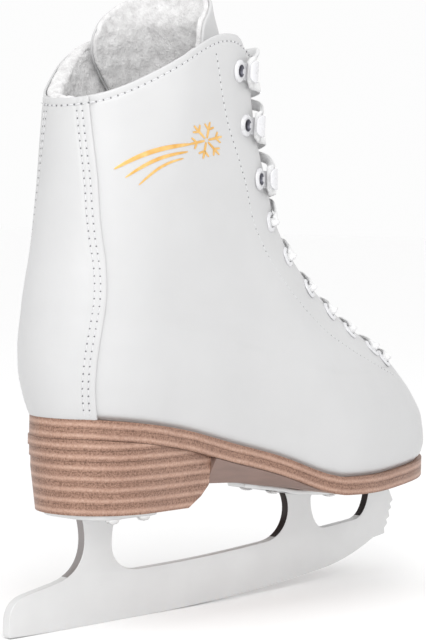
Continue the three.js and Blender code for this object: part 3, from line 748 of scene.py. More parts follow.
WHITE_LEATHER = leather_material("white_leather", (0.565, 0.565, 0.568))
WHITE_PANEL = leather_material("white_panel", (0.555, 0.555, 0.558))
FLEECE = fleece_material()
FOOTBED = cloth_material()
LACE = lace_material()
STACKED = stacked_material("stacked_heel", 0.25)
SOLE_EDGES = stacked_material("sole_edges", 0.35)
WAIST = plain_wood_material()
BLADE_STEEL = steel_material("blade_steel", (0.70, 0.70, 0.70), 0.42, metallic=0.45)
# Painted shade for the rear faces of the blade's stanchions: grey at the heel, near black at the
# front.
REAR_EDGE_SHADE = steel_material("rear_edge_painted_shade_steel", (0.30, 0.28, 0.275), 0.35, metallic=0.6)
SHADED_EDGE = steel_material("shaded_edge_steel", (0.022, 0.014, 0.013), 0.3, metallic=0.3)
PLATE_STEEL = steel_material("plate_steel", (0.62, 0.62, 0.62), 0.3, grind=(1, 0.05, 1))
DOMES = steel_material("domed_heads", (0.78, 0.78, 0.78), 0.22, grind=(1, 1, 1))
ENAMEL = enamel_material()
# Painted shade inside the hooks' hollow rivets.
RIVET_HOLE_SHADE = steel_material("rivet_hole_painted_shade", (0.17, 0.17, 0.2), 0.5)
THREAD = thread_material()
NEEDLE_HOLE_SHADE = needle_hole_shade_material()
GOLD = gold_material()
FIBRE_BOARD = fibre_board_material()
AGLET_FILM = film_material()


# ------------------------------------------------------------------ upper


def boot_rows(u, first, drop, low_rows):
    """Heights of the rows of a boot wall: even lower down, following the rim at the top."""
    rim = rim_height(u) - (drop(u) if callable(drop) else drop)
    low = [np.full_like(rim, h) for h in low_rows if h >= first]
    middle = [mix(low_rows[-1], rim - 6, t) for t in np.linspace(0, 1, 52)[1:]]
    top = [rim - 6 + 6 * t for t in np.linspace(0, 1, 11)[1:]]
    return np.stack(low + middle + top)


def boot_grid(first, drop, slit_margin, slit_curve, columns):
    """Grid of (h, u) round the boot, open at the slit, with its numbers and its borders."""
    low_rows = np.concatenate([[0, 0.7, 1.5, 2.4, 3.5], np.linspace(5, 38, 20),
                               np.linspace(39, 51, 28)])
    front_rows = boot_rows(np.zeros(1), first, drop, low_rows)[:, 0]
    opening = np.clip((THROAT + slit_curve - front_rows) / slit_curve, 0, 1)
    corner = 1 - np.clip((front_rows - front_rows[-1] + CORNER) / CORNER, 0, 1) ** 2.2
    spread = beside_eyelets(front_rows, slit_margin + CORNER * 0.8 * (1 - np.sqrt(corner)))
    edge = spread * np.sqrt(1 - opening**2)
    across = np.linspace(0, 1, columns)
    u = edge[:, None] + (1 - 2 * edge[:, None]) * across
    own = np.arange(len(u))
    h = np.stack([boot_rows(u[:, j], first, drop, low_rows)[own, own] for j in range(columns)], 1)
    ids = open_ids(len(u), columns)
    closed = int(np.sum(edge <= 0))
    ids[:closed, -1] = ids[:closed, 0]
    _, packed = np.unique(ids, return_inverse=True)
    ids = packed.reshape(ids.shape)
    foot = ids[0, :-1]
    slit = np.concatenate([ids[closed - 1:-1, 0], ids[-1, :-1], ids[:closed - 1:-1, -1]])
    return h, u, ids, [foot, slit]


def groove(distance, depth=0.28, width=0.8):
    """Depth of a furrow drawn in by a seam, at a distance from it."""
    return depth * np.exp(-(distance / width) ** 2)


def upper():
    """White leather of the boot, drawn in at its seams and tucked under at the sole."""
    h, u, ids, borders = boot_grid(0, 0, -FACING_MARGIN, THROAT_CURVE, 201)
    inward = np.minimum(u, 1 - u)
    tuck = 1.5 * (1 - np.clip(h / 3.4, 0, 1)) ** 2
    around = mm_per_turn(h, u) * (inward - facing_seam(h))
    to_rim = rim_height(u) - h
    seams = groove(to_rim - TOPLINE_SEAM) + groove(around, 0.15) * (h > 35)
    outer = below(h, u, tuck + seams)
    inner = below(h, u, LEATHER - 1.1 * smoothstep(5, 0, to_rim) * (inward > 0.12))
    points, faces = layered_solid(outer, inner, ids, borders, bulge=0.7)
    piece = make_piece("leather_upper", points, faces, WHITE_LEATHER, sharp=60)
    bore_holes(piece)
    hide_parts("upper_shell")


def bore_holes(piece):
    """Opens the leather under every eyelet and at every hook's rivet."""
    cutters = []
    for _, side in SIDES:
        for h in EYELET_HEIGHTS + HOOK_HEIGHTS:
            radius = 3.1 if h in EYELET_HEIGHTS else 2.2
            profile = [(0, -4), (radius, -4), (radius, 3), (0, 3)]
            cutters.append(turned(profile, *eyelet_axis(h, side), 20))
    cutter = make_piece("cutter", *merged(cutters), WHITE_LEATHER)
    apply_modifier(piece, "BOOLEAN", operation="DIFFERENCE", object=cutter, solver="EXACT")
    bpy.data.objects.remove(cutter)


def back_panel():
    """Raised strap up the back of the heel, from the sole to the collar."""
    across = np.linspace(-1, 1, 61)
    rows = boot_rows(np.full(61, 0.5), 0, 0, np.concatenate([[0.6], np.linspace(3, 51, 34)]))
    h = rows.copy()
    u = 0.5 + across * panel_edge(h)
    h = h * (rim_height(u) / rim_height(0.5))
    edge = (1 - np.abs(across)) * panel_edge(h) * mm_per_turn(h, u)
    seams = groove(rim_height(u) - h - TOPLINE_SEAM)
    for inset in STRAP_SEAMS:
        seams = seams + groove(edge - inset)
    outer, inner = below(h, u, -1.5 + seams), below(h, u, -0.12)
    piece = make_piece("heel_strap", *sheet(outer, inner, 0.5), WHITE_PANEL, sharp=60)
    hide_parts("back_panel")


def pile_below_rim(u):
    """How far below the rim the pile ends: at the rim on the inner side, under it on the outer."""
    return mix(-0.4, 4.6, smoothstep(0.5, 0.42, u) * smoothstep(0.02, 0.1, u))


def lining():
    """Fleece lining of the shaft and foot, a brushed pile that reaches up to the collar's edge."""
    h, u, ids, borders = boot_grid(10, pile_below_rim, LINING_MARGIN, 9, 161)
    inward = np.minimum(u, 1 - u)
    depth = mix(LINING_HELD, LINING_FREE, smoothstep(0.2, 0.3, inward))
    to_rim = rim_height(u) - h
    front = LEATHER + 0.7 - 1.4 * smoothstep(5, 0, to_rim) * smoothstep(0.12, 0.2, inward)
    outer, inner = below(h, u, front), below(h, u, depth)
    points, faces = layered_solid(outer, inner, ids, borders, bulge=1.8)
    count = ids.max() + 1
    points[count:] = roughen(roughen(points[count:], 0.9, 5.5, 1), 0.5, 2.2, 7)
    piece = make_piece("fleece_lining", points, faces, FLEECE, sharp=180)
    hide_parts("boot_lining")


def footbed():
    """Cloth-topped insole inside the boot."""
    top, bottom = [sole_grid(-FOOTBED_INSET, height, eased(90), 13)
                   for height in (FOOTBED_HIGH, FOOTBED_LOW)]
    piece = make_piece("footbed", *sheet(top, bottom, 0.7, 0.6), FOOTBED, sharp=60)
    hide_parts("insole")


# ------------------------------------------------------------------ tongue


def tongue_grid(inset, rows=90, columns=57):
    """Grid of (h, k) of the tongue, drawn in from its edge. k is -1 to 1 across it."""
    k = np.sin(np.linspace(-1, 1, columns) * np.pi / 2)
    fall = np.where(k < 0, 34 * (1 - np.sqrt(1.0001 - np.abs(k) ** 2.6)),
                    42 * (1 - np.sqrt(1.0001 - np.abs(k) ** 2.2)))
    top = TONGUE_TOP + 1.5 - fall - inset
    share = np.linspace(0, 1, rows)[:, None]
    h = mix(TONGUE_FOOT + inset / 2, top, share)
    reach = mix(0.085, TONGUE_REACH, smoothstep(30, 165, h))
    inner_side = 1.12 + 0.16 * smoothstep(120, 175, h)
    narrowed = reach * np.where(k < 0, inner_side, 1) - inset / 250
    return h, k * narrowed, k + 0 * h


def tongue_place(h, u, k, depth):
    """Point of the tongue, which leans back into the empty shaft towards its top.

    Its wings stand further in than its middle, so that they clear the lining when it swings.
    """
    lean = smoothstep(140, 186, h)
    wing = smoothstep(0.4, 1, np.abs(k)) * (1.4 + 5.2 * smoothstep(140, 178, h) * (k < 0))
    place = below(h, u, TONGUE_DEPTH + depth + 2 * lean + wing)
    return place - (11.5 * lean)[..., None] * [1, 0, 0]


def tongue_crown(h, k):
    """How full the tongue's padding is, 0 at the edges and 1 in the middle."""
    return (1 - np.abs(k) ** 3) * smoothstep(TONGUE_FOOT, 95, h) * smoothstep(0, 12, h.max(0) - h)


def tongue():
    """Padded tongue: leather face and edge, foam inside, fleece on the foot's side."""
    h, u, k = tongue_grid(0)
    crown = tongue_crown(h, k)
    outer = tongue_place(h, u, k, 0.25 - 0.2 * crown + groove((1 - np.abs(k)) * 45 - 4))
    inner = tongue_place(h, u, k, 1.7 + 4.2 * crown)
    pad = make_piece("tongue_pad", *sheet(outer, inner, 0.5), WHITE_PANEL, body="tongue", sharp=60)
    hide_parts("tongue_skin", "tongue_foam")

    h, u, k = tongue_grid(0.1)
    crown = tongue_crown(h, k)
    outer, inner = [tongue_place(h, u, k, depth + 4.2 * crown) for depth in (1.9, 4.4)]
    points, faces = sheet(outer, inner, 1.2)
    points[h.size:] = roughen(roughen(points[h.size:], 0.8, 6, 3), 0.4, 2.4, 9)
    fleece = make_piece("tongue_lining", points, faces, FLEECE, body="tongue", sharp=180)
    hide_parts("tongue_fleece")


# ------------------------------------------------------------------ soles and heel


def sole_halves(x, edge):
    """Half widths of the sole at x on its outer and inner side, grown by edge."""
    back, front = outline_at(BACK, 0.0) - edge, outline_at(FRONT, 0.0) + edge
    s = np.clip((x - back) / (front - back), 0.0015, 0.9985)
    grow = 1 + edge / 35
    zero = np.zeros_like(s)
    return half_width(zero, s, False) * grow, half_width(zero, s, True) * grow


def sole_grid(edge, offset, stations, columns):
    """Grid over the sole's outline grown by edge, at an offset above the sole line."""
    back, front = outline_at(BACK, 0.0) - edge, outline_at(FRONT, 0.0) + edge
    x = mix(back, front, stations)
    outer, inner = sole_halves(x, edge)
    y = mix(-outer[:, None], inner[:, None], np.linspace(0, 1, columns))
    return row_grid(x, y, sole_z(x) + offset)


def set_layer(piece, values):
    """Writes, for each point, which layer of the stack it is in."""
    attribute = piece.data.attributes.new("layer", "FLOAT", "POINT")
    attribute.data.foreach_set("value", np.asarray(values, np.float32))


def drawn_points(piece):
    flat = np.zeros(len(piece.data.vertices) * 3)
    piece.data.vertices.foreach_get("co", flat)
    return flat.reshape(-1, 3) / MM + [ORIGIN_X, 0, 0]


def sole_underside(x):
    return sole_z(x) - SOLE_STACK


LIFT_PITCH = (sole_underside(0.0) - HEEL_BOTTOM) / HEEL_LIFTS


def sole_layers():
    layers = (("outsole_layer", "outsole", -SOLE_STACK, -GAP - MIDSOLE - 0.02),
              ("midsole_layer", "midsole", -GAP - MIDSOLE, -0.05))
    for name, node, low, high in layers:
        top, bottom = [sole_grid(SOLE_EDGE - 0.35, z, eased(150), 9) for z in (high, low)]
        piece = make_piece(name, *sheet(top, bottom, 0.16, 0.22, 6), SOLE_EDGES, sharp=50)
        place = drawn_points(piece)
        set_layer(piece, (place[:, 2] - sole_underside(place[:, 0])) / LIFT_PITCH)
        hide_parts(node)


def wedge_underside(x):
    return curve_at([78, 99, 112, 140, 158], [60.6, 59.3, 57.3, 53.7, 50.9], x)


def waist_wedge():
    x = np.linspace(HEEL_FRONT + GAP, WAIST_FRONT, 60)
    grids = []
    for edge, z in ((0.6, sole_underside(x) - 0.2), (-6, wedge_underside(x))):
        outer, inner = sole_halves(x, edge)
        y = mix(-outer[:, None], inner[:, None], np.linspace(0, 1, 11))
        grids.append(row_grid(x, y, z))
    piece = make_piece("waist_fill", *sheet(*grids, 0.2, 0.3), WAIST, sharp=40)
    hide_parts("waist_wedge")


def heel_half_width(x, z):
    """Half width and back end of the heel block, which tapers towards its bottom."""
    share = np.clip((z - HEEL_BOTTOM) / (sole_underside(0.0) - HEEL_BOTTOM), 0, 1)
    half, back = mix(27.0, 30.2, share), mix(5.2, 1.2, share)
    curve = half * np.sqrt(np.clip(1 - (np.maximum(0, back + 33 - x) / 33) ** 2, 0, 1))
    return np.where(x < 40, curve, half - 1.5 * (x - 40) / (HEEL_FRONT - 40)), back


def heel_level(z, columns=9, stations=70):
    """Grid of the heel block at height z, cut off by the sole above it and by the chamfer."""
    front = np.interp(z, [50.8, 57.5, 58.0], [65.0, 76.5, HEEL_FRONT])
    search = np.linspace(-1, front, 600)
    under = sole_underside(search) - 0.15 > z
    front = search[under].max() if under.any() else 0.0
    _, back = heel_half_width(0.0, z)
    x = mix(back, front, eased(stations, 0.999))
    half, _ = heel_half_width(x, z)
    y = np.linspace(-1, 1, columns) * np.maximum(half, 0.05)[:, None]
    return row_grid(x, y, z)


def heel_lifts():
    for i in range(HEEL_LIFTS):
        low, high = HEEL_BOTTOM + i * LIFT_PITCH, HEEL_BOTTOM + (i + 1) * LIFT_PITCH
        last = i == HEEL_LIFTS - 1
        bottom = heel_level(low + 0.02)
        top = heel_level(high - (0.35 if last else 0.02))
        top[..., 2] = np.minimum(top[..., 2], sole_underside(top[..., 0]) - 0.12)
        if sole_underside(np.array(HEEL_FRONT, float)) < high:
            top = bottom.copy()
            top[..., 2] = np.minimum(high - 0.02, sole_underside(bottom[..., 0]) - 0.12)
        solid = sheet(top, bottom, 0.07, 0.2, 6)
        piece = make_piece(f"heel_layer_{i + 1}", *solid, STACKED, sharp=50)
        set_layer(piece, (drawn_points(piece)[:, 2] - HEEL_BOTTOM) / LIFT_PITCH)
        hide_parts(f"heel_lift_{i + 1}")


# ------------------------------------------------------------------ blade, plates, fasteners


def plate_top(x):
    x = np.asarray(x, float)
    on_wedge = np.minimum(wedge_underside(x), sole_underside(x))
    return np.where(x < WEDGE_RUNS_OUT, on_wedge, sole_underside(x)) - GAP


def prism(name, outline, axis, low, high, material, bevel, sharp=30):
    """Flat piece from a closed outline, thick along one axis, with small rounded edges."""
    outline = np.asarray(outline, float)
    count = len(outline)
    points = np.concatenate([np.insert(outline, axis, level, axis=1) for level in (low, high)])
    ring = [[i, (i + 1) % count, count + (i + 1) % count, count + i] for i in range(count)]
    faces = [list(range(count - 1, -1, -1)), list(range(count, 2 * count)), *ring]
    piece = make_piece(name, points, faces, material, sharp=sharp)
    apply_modifier(piece, "BEVEL", width=bevel * MM, segments=3, limit_method="ANGLE",
                   angle_limit=math.radians(50), harden_normals=False)
    piece.data.shade_smooth()
    piece.data.set_sharp_from_angle(angle=math.radians(sharp))
    return piece


def arc(cx, cy, radius, start, end, steps=9):
    angles = np.radians(np.linspace(start, end, steps))
    return [(cx + radius * math.cos(a), cy + radius * math.sin(a)) for a in angles]


def bezier(start, first, second, end, steps=16):
    """Points of a curve after its start, drawn from start to end towards two guides."""
    t = np.linspace(0, 1, steps + 1)[1:, None]
    start, first, second, end = map(np.array, (start, first, second, end))
    curve = ((1 - t) ** 3 * start + 3 * (1 - t) ** 2 * t * first
             + 3 * (1 - t) * t**2 * second + t**3 * end)
    return [tuple(p) for p in curve]


def heel_plate():
    back, front, half = HEEL_PLATE_BACK, 55, 19
    big, small = 12, 5
    outline = arc(front - small, -half + small, small, -90, 0)
    outline += arc(front - small, half - small, small, 0, 90)
    outline += arc(back + big, half - big, big, 90, 180, 14)
    outline += arc(back + big, -half + big, big, 180, 270, 14)
    top = HEEL_BOTTOM - GAP
    piece = prism("heel_mounting_plate", outline, 2, top - PLATE, top + 0.25, PLATE_STEEL, 0.45)
    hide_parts("heel_plate")


def sole_plate():
    back, front = 130, 251
    x = mix(back, front, eased(110))
    half = curve_at([0, 0.04, 0.25, 0.55, 0.85, 0.96, 1], [5, 9, 14, 27, 24, 19, 10],
                    (x - back) / (front - back))
    y = np.linspace(-1, 1, 9) * half[:, None]
    top, bottom = [row_grid(x, y, plate_top(x) + offset) for offset in (0.2, -PLATE)]
    solid = sheet(top, bottom, 0.4, 0.5)
    piece = make_piece("sole_mounting_plate", *solid, PLATE_STEEL, sharp=40)
    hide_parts("sole_plate")


def runner_bottom(x):
    """Height of the blade's running edge: two rockers either side of a flat."""
    main = max(0, abs(x - CONTACT_X) - CONTACT_HALF) ** 2 / (2 * ROCKER_RADIUS)
    return main + max(0, x - SPIN_ROCKER_X) ** 2 / (2 * SPIN_ROCKER_RADIUS)


def toe_pick():
    """Saw teeth at the blade's toe, upwards."""
    return [(247.8, 19.6), (247.4, 22.4), (250.2, 24.6), (249, 26.6), (251.9, 28), (250.8, 31),
            (253.4, 32.4), (251.8, 34.6), (254.4, 36.2), (250, 43)]


def blade():
    heel_top = HEEL_BOTTOM - GAP - PLATE + 0.1
    sole_top = {x: float(plate_top(x)) - PLATE + 0.1 for x in (247.5, 233.5, 184.8, 187)}
    outline = [(x, runner_bottom(x)) for x in [-19.5, *range(-14, 241, 6)]]
    outline += toe_pick()
    outline += [(247.5, sole_top[247.5]), (233.5, sole_top[233.5])]
    outline += bezier(outline[-1], (233.5, 37), (229, 29.4), (220, 29))
    outline += bezier(outline[-1], (212, 28.4), (204, 27.9), (197, 27.4), 6)
    outline += bezier(outline[-1], (189, 27), (184.6, 36), (184.8, sole_top[184.8] - 4))
    outline += [(187, sole_top[187]), (164, sole_top[187])]
    runner_start = (150, runner_bottom(150) + RUNNER_HEIGHT)
    outline += bezier(outline[-1], (171, 38), (165, 25.6), runner_start)
    outline += [(x, runner_bottom(x) + RUNNER_HEIGHT) for x in range(144, 54, -6)]
    outline += bezier(outline[-1], (46, 22), (41, 29), (41.8, 37))
    outline += bezier(outline[-1], (42, 41), (43, 45), (44.5, heel_top), 8)
    outline += [(22, heel_top)]
    outline += bezier(outline[-1], (26, 38), (26.5, 24.5), (8, 20.8))
    outline += bezier(outline[-1], (2, 19.8), (-4, 18.8), (-10, 17.8), 5)
    outline += bezier(outline[-1], (-17, 16.6), (-20.6, 13), (-20.6, 7), 12)
    outline += bezier(outline[-1], (-20.6, 3), (-20.4, 0.9), (-19.5, runner_bottom(-19.5)), 4)[:-1]
    piece = prism("runner", outline, 1, -BLADE / 2, BLADE / 2, BLADE_STEEL, 0.3)
    piece.data.materials.append(REAR_EDGE_SHADE)
    piece.data.materials.append(SHADED_EDGE)
    # Rear faces of the stanchions, above the runner, get painted shade: grey steel at the heel,
    # near black steel at the front.
    for face in piece.data.polygons:
        x, z = face.center.x / MM + ORIGIN_X, face.center.z / MM
        if abs(face.normal.y) < 0.5 and face.normal.x < -0.35 and z > runner_bottom(x) + 17:
            face.material_index = 1 if x < 100 else 2
    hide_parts("blade")


def fasteners():
    """Domed heads with their shanks: rivets in the heel plate, screws in the sole plate."""
    dome = [(0, -2.7), (1.2, -2.65), (2.2, -2.3), (2.9, -1.6), (3.2, -0.9), (3.3, -0.35),
            (4.2, -0.3), (4.3, 0), (2, 0.02), (2, 6), (0, 6)]
    places = [(x, side * HEEL_RIVETS_Y) for x in HEEL_RIVETS_X for side in (-1, 1)]
    for i, (x, y) in enumerate(places):
        base = np.array([x, y, HEEL_BOTTOM - GAP - PLATE])
        piece = make_piece(f"rivet_{i + 1}", *turned(dome, base, (0, 0, 1)), DOMES, sharp=50)
        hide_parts(f"heel_rivet_{i + 1}")
    places = [(x, side * y) for x, y in SOLE_SCREWS for side in (-1, 1)]
    for i, (x, y) in enumerate(places):
        base = np.array([x, y, float(plate_top(x)) - PLATE])
        piece = make_piece(f"screw_{i + 1}", *screw(base), DOMES, sharp=40)
        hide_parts(f"sole_screw_{i + 1}")


def screw(base):
    """Low domed screw head with a cross recess, and the top of its shank."""
    head = [(0, -0.5), (0.5, -0.5), (0.9, -1.25), (2.0, -1.15), (3.0, -0.75), (3.5, -0.1),
            (3.45, 0.05), (1.8, 0.06), (1.8, 5), (0, 5)]
    points, faces = turned(head, base, (0, 0, 1), 32)
    offset = points - base
    angle = np.arctan2(offset[:, 1], offset[:, 0])
    radius = np.linalg.norm(offset[:, :2], axis=1)
    arm = 0.5 + 0.5 * np.cos(4 * angle)
    recess = (radius > 0.4) & (radius < 1.0) & (offset[:, 2] < -0.4)
    points[recess, :2] = base[:2] + offset[recess, :2] * (0.75 + 0.75 * arm[recess, None])
    return points, faces


# ------------------------------------------------------------------ eyelets and hooks


def eyelets():
    """Enamelled rings with rolled edges, pressed through the facings."""
    ring = [(2.6, -2.9), (2.6, 0.4), (2.75, 0.8), (3.3, 1.02), (4.0, 0.92), (4.6, 0.6),
            (4.9, 0.15), (4.9, -0.02), (3.05, -0.02), (3.05, -2.9)]
    for name, side in SIDES:
        for i, h in enumerate(EYELET_HEIGHTS):
            solid = turned(ring, *eyelet_axis(h, side), 36)
            piece = make_piece(f"lace_eyelet_{name}_{i + 1}", *solid, ENAMEL, sharp=50)
            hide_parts(f"eyelet_{name}_{i + 1}")


def hook_frame(h, side):
    """Origin of a hook and its directions: away from the slit, out, and up the facing."""
    origin, out = eyelet_axis(h, side)
    share = float(eyelet_u(h))
    u, behind = on_side(side, share), on_side(side, share + 0.004)
    away = surface(h, behind) - surface(h, 2 * u - behind)
    away = unit(away - out * np.dot(away, out))
    return origin, away, out, np.cross(away, out) * -side


# Profiles of (radius, height) of the hook's riveted foot and of a dark cup in its hole, painted
# shade of the hollow rivet.
HOOK_FOOT = [(0, -2.4), (1.6, -2.4), (1.75, -0.9), (2.2, 0.4), (2.8, 1.15), (3.5, 1.4),
             (4.3, 1.2), (4.95, 0.7), (5.1, 0.1), (4.9, 0.0), (2.15, -0.02), (2.15, -3.0),
             (0, -3.0)]
RIVET_SHADE_CUP = [(0, -2.35), (1.62, -2.35), (1.75, -0.92), (2.2, 0.38), (2.8, 1.1),
                (2.66, 1.15), (2.1, 0.42), (1.68, -0.88), (1.55, -2.25), (0, -2.25)]


def hook_lip():
    """Grids of the bent tab, in the hook's own frame: away, out, up."""
    centre = [(-2.6, 0.75)]
    centre += bezier(centre[-1], (-5.4, 0.6), (-6.9, 1.0), (-6.9, 3.4), 8)
    centre += bezier(centre[-1], (-6.9, 6.0), (-5.4, 6.6), (-3.6, 6.5), 8)
    centre += bezier(centre[-1], (-2.2, 6.4), (-1.2, 6.1), (-0.6, 5.4), 6)
    centre = np.array(centre)
    travel = travelled(centre)
    along = np.gradient(centre, axis=0)
    normal = unit(np.stack([-along[:, 1], along[:, 0]], -1))
    half = curve_at([0, 3, 6, 9, travel[-1]], [3.4, 3.5, 3.9, 4.4, 4.4], travel)
    end = np.clip((travel - travel[-1] + 3.2) / 3.2, 0, 1)
    half = half * np.sqrt(1 - 0.72 * end**2.5)
    across = np.linspace(-1, 1, 11)
    grids = []
    for thickness in (0.45, -0.45):
        away, out = np.transpose(centre + normal * thickness)[..., None]
        grids.append(np.stack(np.broadcast_arrays(away, out, half[:, None] * across), -1))
    return grids


def hooks():
    """Enamelled lace hooks: a riveted foot and a tab bent back over it."""
    lip_points, lip_faces = sheet(*hook_lip(), 0.45)
    for name, side in SIDES:
        for i, h in enumerate(HOOK_HEIGHTS):
            origin, away, out, up = hook_frame(h, side)
            placed = origin + lip_points @ np.stack([away, out, up])
            parts = [(placed, lip_faces), turned(HOOK_FOOT, origin, out, 32)]
            enamelled = sum(len(faces) for _, faces in parts)
            # A dark cup in the rivet's hole, painted shade of the hollow inside.
            parts.append(turned(RIVET_SHADE_CUP, origin, out, 32))
            finishes = [ENAMEL, RIVET_HOLE_SHADE]
            piece = make_piece(f"hook_{name}_{i + 1}", *merged(parts), finishes, sharp=50)
            two_finishes(piece, enamelled)
            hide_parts(f"lace_hook_{name}_{i + 1}")


# ------------------------------------------------------------------ lace


def around_hook(h, side):
    """Stations of the lace round the outside of a hook, below, behind and above its neck."""
    origin, away, out, up = hook_frame(h, side)
    places = [(-8.8, 1.8, -5.6), (-5.2, 3.3, -5), (-4.7, 3.5, 0), (-5.2, 3.3, 5),
              (-8.8, 2.4, 6.2)]
    return [(origin + away * a + out * o + up * t, away, 3.6) for a, o, t in places]


def lace_half(side):
    """One half of the lace: points, the way its flat side faces, and its width there.

    It runs from the lowest eyelet up to the top hook and down inside. The half that starts
    on the inner side lies over the other where they cross.
    """
    crossing = 1.4 if side > 0 else 4.2
    rows = EYELET_HEIGHTS + HOOK_HEIGHTS
    route = []

    def at_share(h, share):
        return on_side(math.copysign(1, share), abs(share) * float(eyelet_u(h)))

    def flat(h, share, depth, width=6.4):
        u = at_share(h, share)
        route.append((below(h, u, depth), surface_normal(h, u), width))

    def middle(h, y, depth, width=6.4):
        u = front_u(h, y)
        route.append((below(h, u, depth), surface_normal(h, u), width))

    def upright(h, share, depth, width=4.2):
        u = at_share(h, share)
        route.append((below(h, u, depth), hook_frame(h, math.copysign(1, share))[1], width))

    flat(rows[0], side * 0.25, 6.3)
    flat(rows[0], side * 0.8, 5.8, 5)
    y = side
    for i, h in enumerate(rows):
        last = i + 1 == len(rows)
        following = h if last else rows[i + 1]
        if i < len(EYELET_HEIGHTS):
            upright(h, y * 0.98, 4.8)
            upright(h, y, 1.5)
            upright(h, y * 0.985, -1.8)
            flat(mix(h, following, 0.1), y * 0.9, -2, 5.8)
            flat(mix(h, following, 0.26), y * 0.7, -1.1)
            flat(mix(h, following, 0.4), y * 0.48, -0.4)
        else:
            route.extend(around_hook(h, y))
            flat(h + 9.5, y * 0.52, -1.6, 5)
        if last:
            break
        middle(mix(h, following, 0.6), y * 0.4, crossing)
        if i + 1 < len(EYELET_HEIGHTS):
            flat(mix(h, following, 0.82), -y * 0.45, 5.4)
            flat(mix(h, following, 0.95), -y * 0.86, 5.6, 5)
        else:
            flat(mix(h, following, 0.72), -y * 0.52, -2.4, 5.4)
        y = -y
    top = rows[-1]
    middle(top + 6, y * 0.4, crossing)
    middle(top + 3, -y * 3.4, 5)
    middle(top - 2, -y * 3.8, 6.3, 5)
    middle(top - 7, -y * 3.9, 6.4, 4)
    middle(top - 12, -y * 3.9, 6, 2.4)
    return route


def smooth_route(values, steps=7):
    """Points of a smooth curve through a list of values, evenly many between each two."""
    values = np.asarray(values, float)
    padded = np.vstack([2 * values[0] - values[1], values, 2 * values[-1] - values[-2]])
    result = []
    for i in range(1, len(padded) - 2):
        a, b, c, d = padded[i - 1:i + 3]
        for t in np.linspace(0, 1, steps, endpoint=False):
            result.append(0.5 * (2 * b + (c - a) * t + (2 * a - 5 * b + 4 * c - d) * t**2
                                 + (3 * b - a - 3 * c + d) * t**3))
    return np.array(result + [values[-1]])


def ribbon(points, faces_way, widths, thickness=1.5, sides=LACE_SIDES):
    """Flat cord along points. Its rings are flattened ovals that turn to faces_way."""
    along = unit(np.gradient(points, axis=0))
    rings, flat = [], None
    for point, tangent, way, width in zip(points, along, faces_way, widths):
        way = way - tangent * np.dot(way, tangent)
        if np.linalg.norm(way) < 0.15 and flat is not None:
            way = flat - tangent * np.dot(flat, tangent)
        way = unit(way)
        if flat is not None and np.dot(way, flat) < 0:
            way = -way
        if flat is not None:
            way = unit(mix(flat - tangent * np.dot(flat, tangent), way, 0.45))
        flat = way
        side = np.cross(tangent, flat)
        angles = np.linspace(0, 2 * np.pi, sides, endpoint=False)
        across = np.sign(np.cos(angles)) * np.abs(np.cos(angles)) ** 0.7 * width / 2
        thick = thickness * mix(1.0, 1.35, np.clip((6.4 - width) / 3, 0, 1))
        up = np.sign(np.sin(angles)) * np.abs(np.sin(angles)) ** 0.8 * thick / 2
        rings.append(point + across[:, None] * side + up[:, None] * flat)
    return tube(rings)


def carried_ways(places, ways):
    """Turns each way round where needed, so that the cord bends over its flat side untwisted."""
    along = unit(np.gradient(places, axis=0))
    result = [ways[0]]
    for before, after, way in zip(along, along[1:], ways[1:]):
        turn = Vector(before).rotation_difference(Vector(after))
        same = np.dot(turn @ Vector(result[-1]), way) >= 0
        result.append(way if same else -way)
    return result


def set_length_uv(piece, sides, travel):
    """UV map along a cord: u is millimetres along it, v millimetres around it."""
    layer = piece.data.uv_layers.new(name="UVMap")
    for loop in piece.data.loops:
        ring, place = divmod(loop.vertex_index, sides)
        layer.data[loop.index].uv = (travel[ring], place * 12.0 / sides)


def lace():
    """One flat lace through all the eyelets and hooks, with an aglet at either end."""
    route = lace_half(-1)[::-1] + lace_half(1)
    places, ways, widths = [np.array(values) for values in zip(*route)]
    points = smooth_route(places)
    ways = smooth_route(carried_ways(places, ways))
    widths = smooth_route(widths[:, None])[:, 0]
    piece = make_piece("flat_lace", *ribbon(points, ways, widths), LACE, sharp=80)
    set_length_uv(piece, LACE_SIDES, travelled(points))
    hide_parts("lace")
    for number, end, before in ((1, points[0], points[3]), (2, points[-1], points[-4])):
        along = unit(end - before)
        profile = [(0, 0.1), (1.0, 0.1), (1.08, 0.4), (1.0, 0.9), (1.02, 12.6), (0.8, 13.6),
                   (0, 14)]
        tip = make_piece(f"lace_tip_{number}", *turned(profile, end, along, 20), AGLET_FILM)
        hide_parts(f"aglet_{number}")


# ------------------------------------------------------------------ stitches and ornament


def evenly(points, pitch):
    """Points at equal steps along a line."""
    travel = travelled(points)
    at = np.arange(pitch / 2, travel[-1], pitch)
    return np.stack([np.interp(at, travel, points[:, k]) for k in range(3)], -1)


def stitch_row(name, h, u, depth):
    """Row of stitches along a line on the boot: sunk threads with dark discs between, painted
    shade of the needle holes.
    """
    base = evenly(below(h, u, depth), STITCH_PITCH)
    above = evenly(below(h, u, depth - 1), STITCH_PITCH)
    count = min(len(base), len(above))
    base = base[:count]
    ups = unit(above[:count] - base)
    along = unit(np.gradient(base, axis=0))
    side = unit(np.cross(along, ups))
    ring = np.linspace(0, 2 * np.pi, 8, endpoint=False)
    shape = [(-1, 0.25), (-0.75, 0.8), (0, 1), (0.75, 0.8), (1, 0.25)]
    parts, holes = [], []
    for place, forward, across, up in zip(base, along, side, ups):
        loops = [place + forward * t * 1.15 + (np.cos(ring)[:, None] * across * 0.32
                 + np.sin(ring)[:, None] * up * 0.26) * r for t, r in shape]
        parts.append(tube(loops))
        hole = place + forward * STITCH_PITCH / 2
        profile = [(0, -0.3), (0.36, -0.3), (0.42, 0.03), (0, 0.07)]
        # Dark disc at each needle hole, painted shade.
        holes.append(turned(profile, hole, up, 10))
    piece = make_piece(name, *merged(parts + holes), [THREAD, NEEDLE_HOLE_SHADE], sharp=70)
    two_finishes(piece, sum(len(faces) for _, faces in parts))


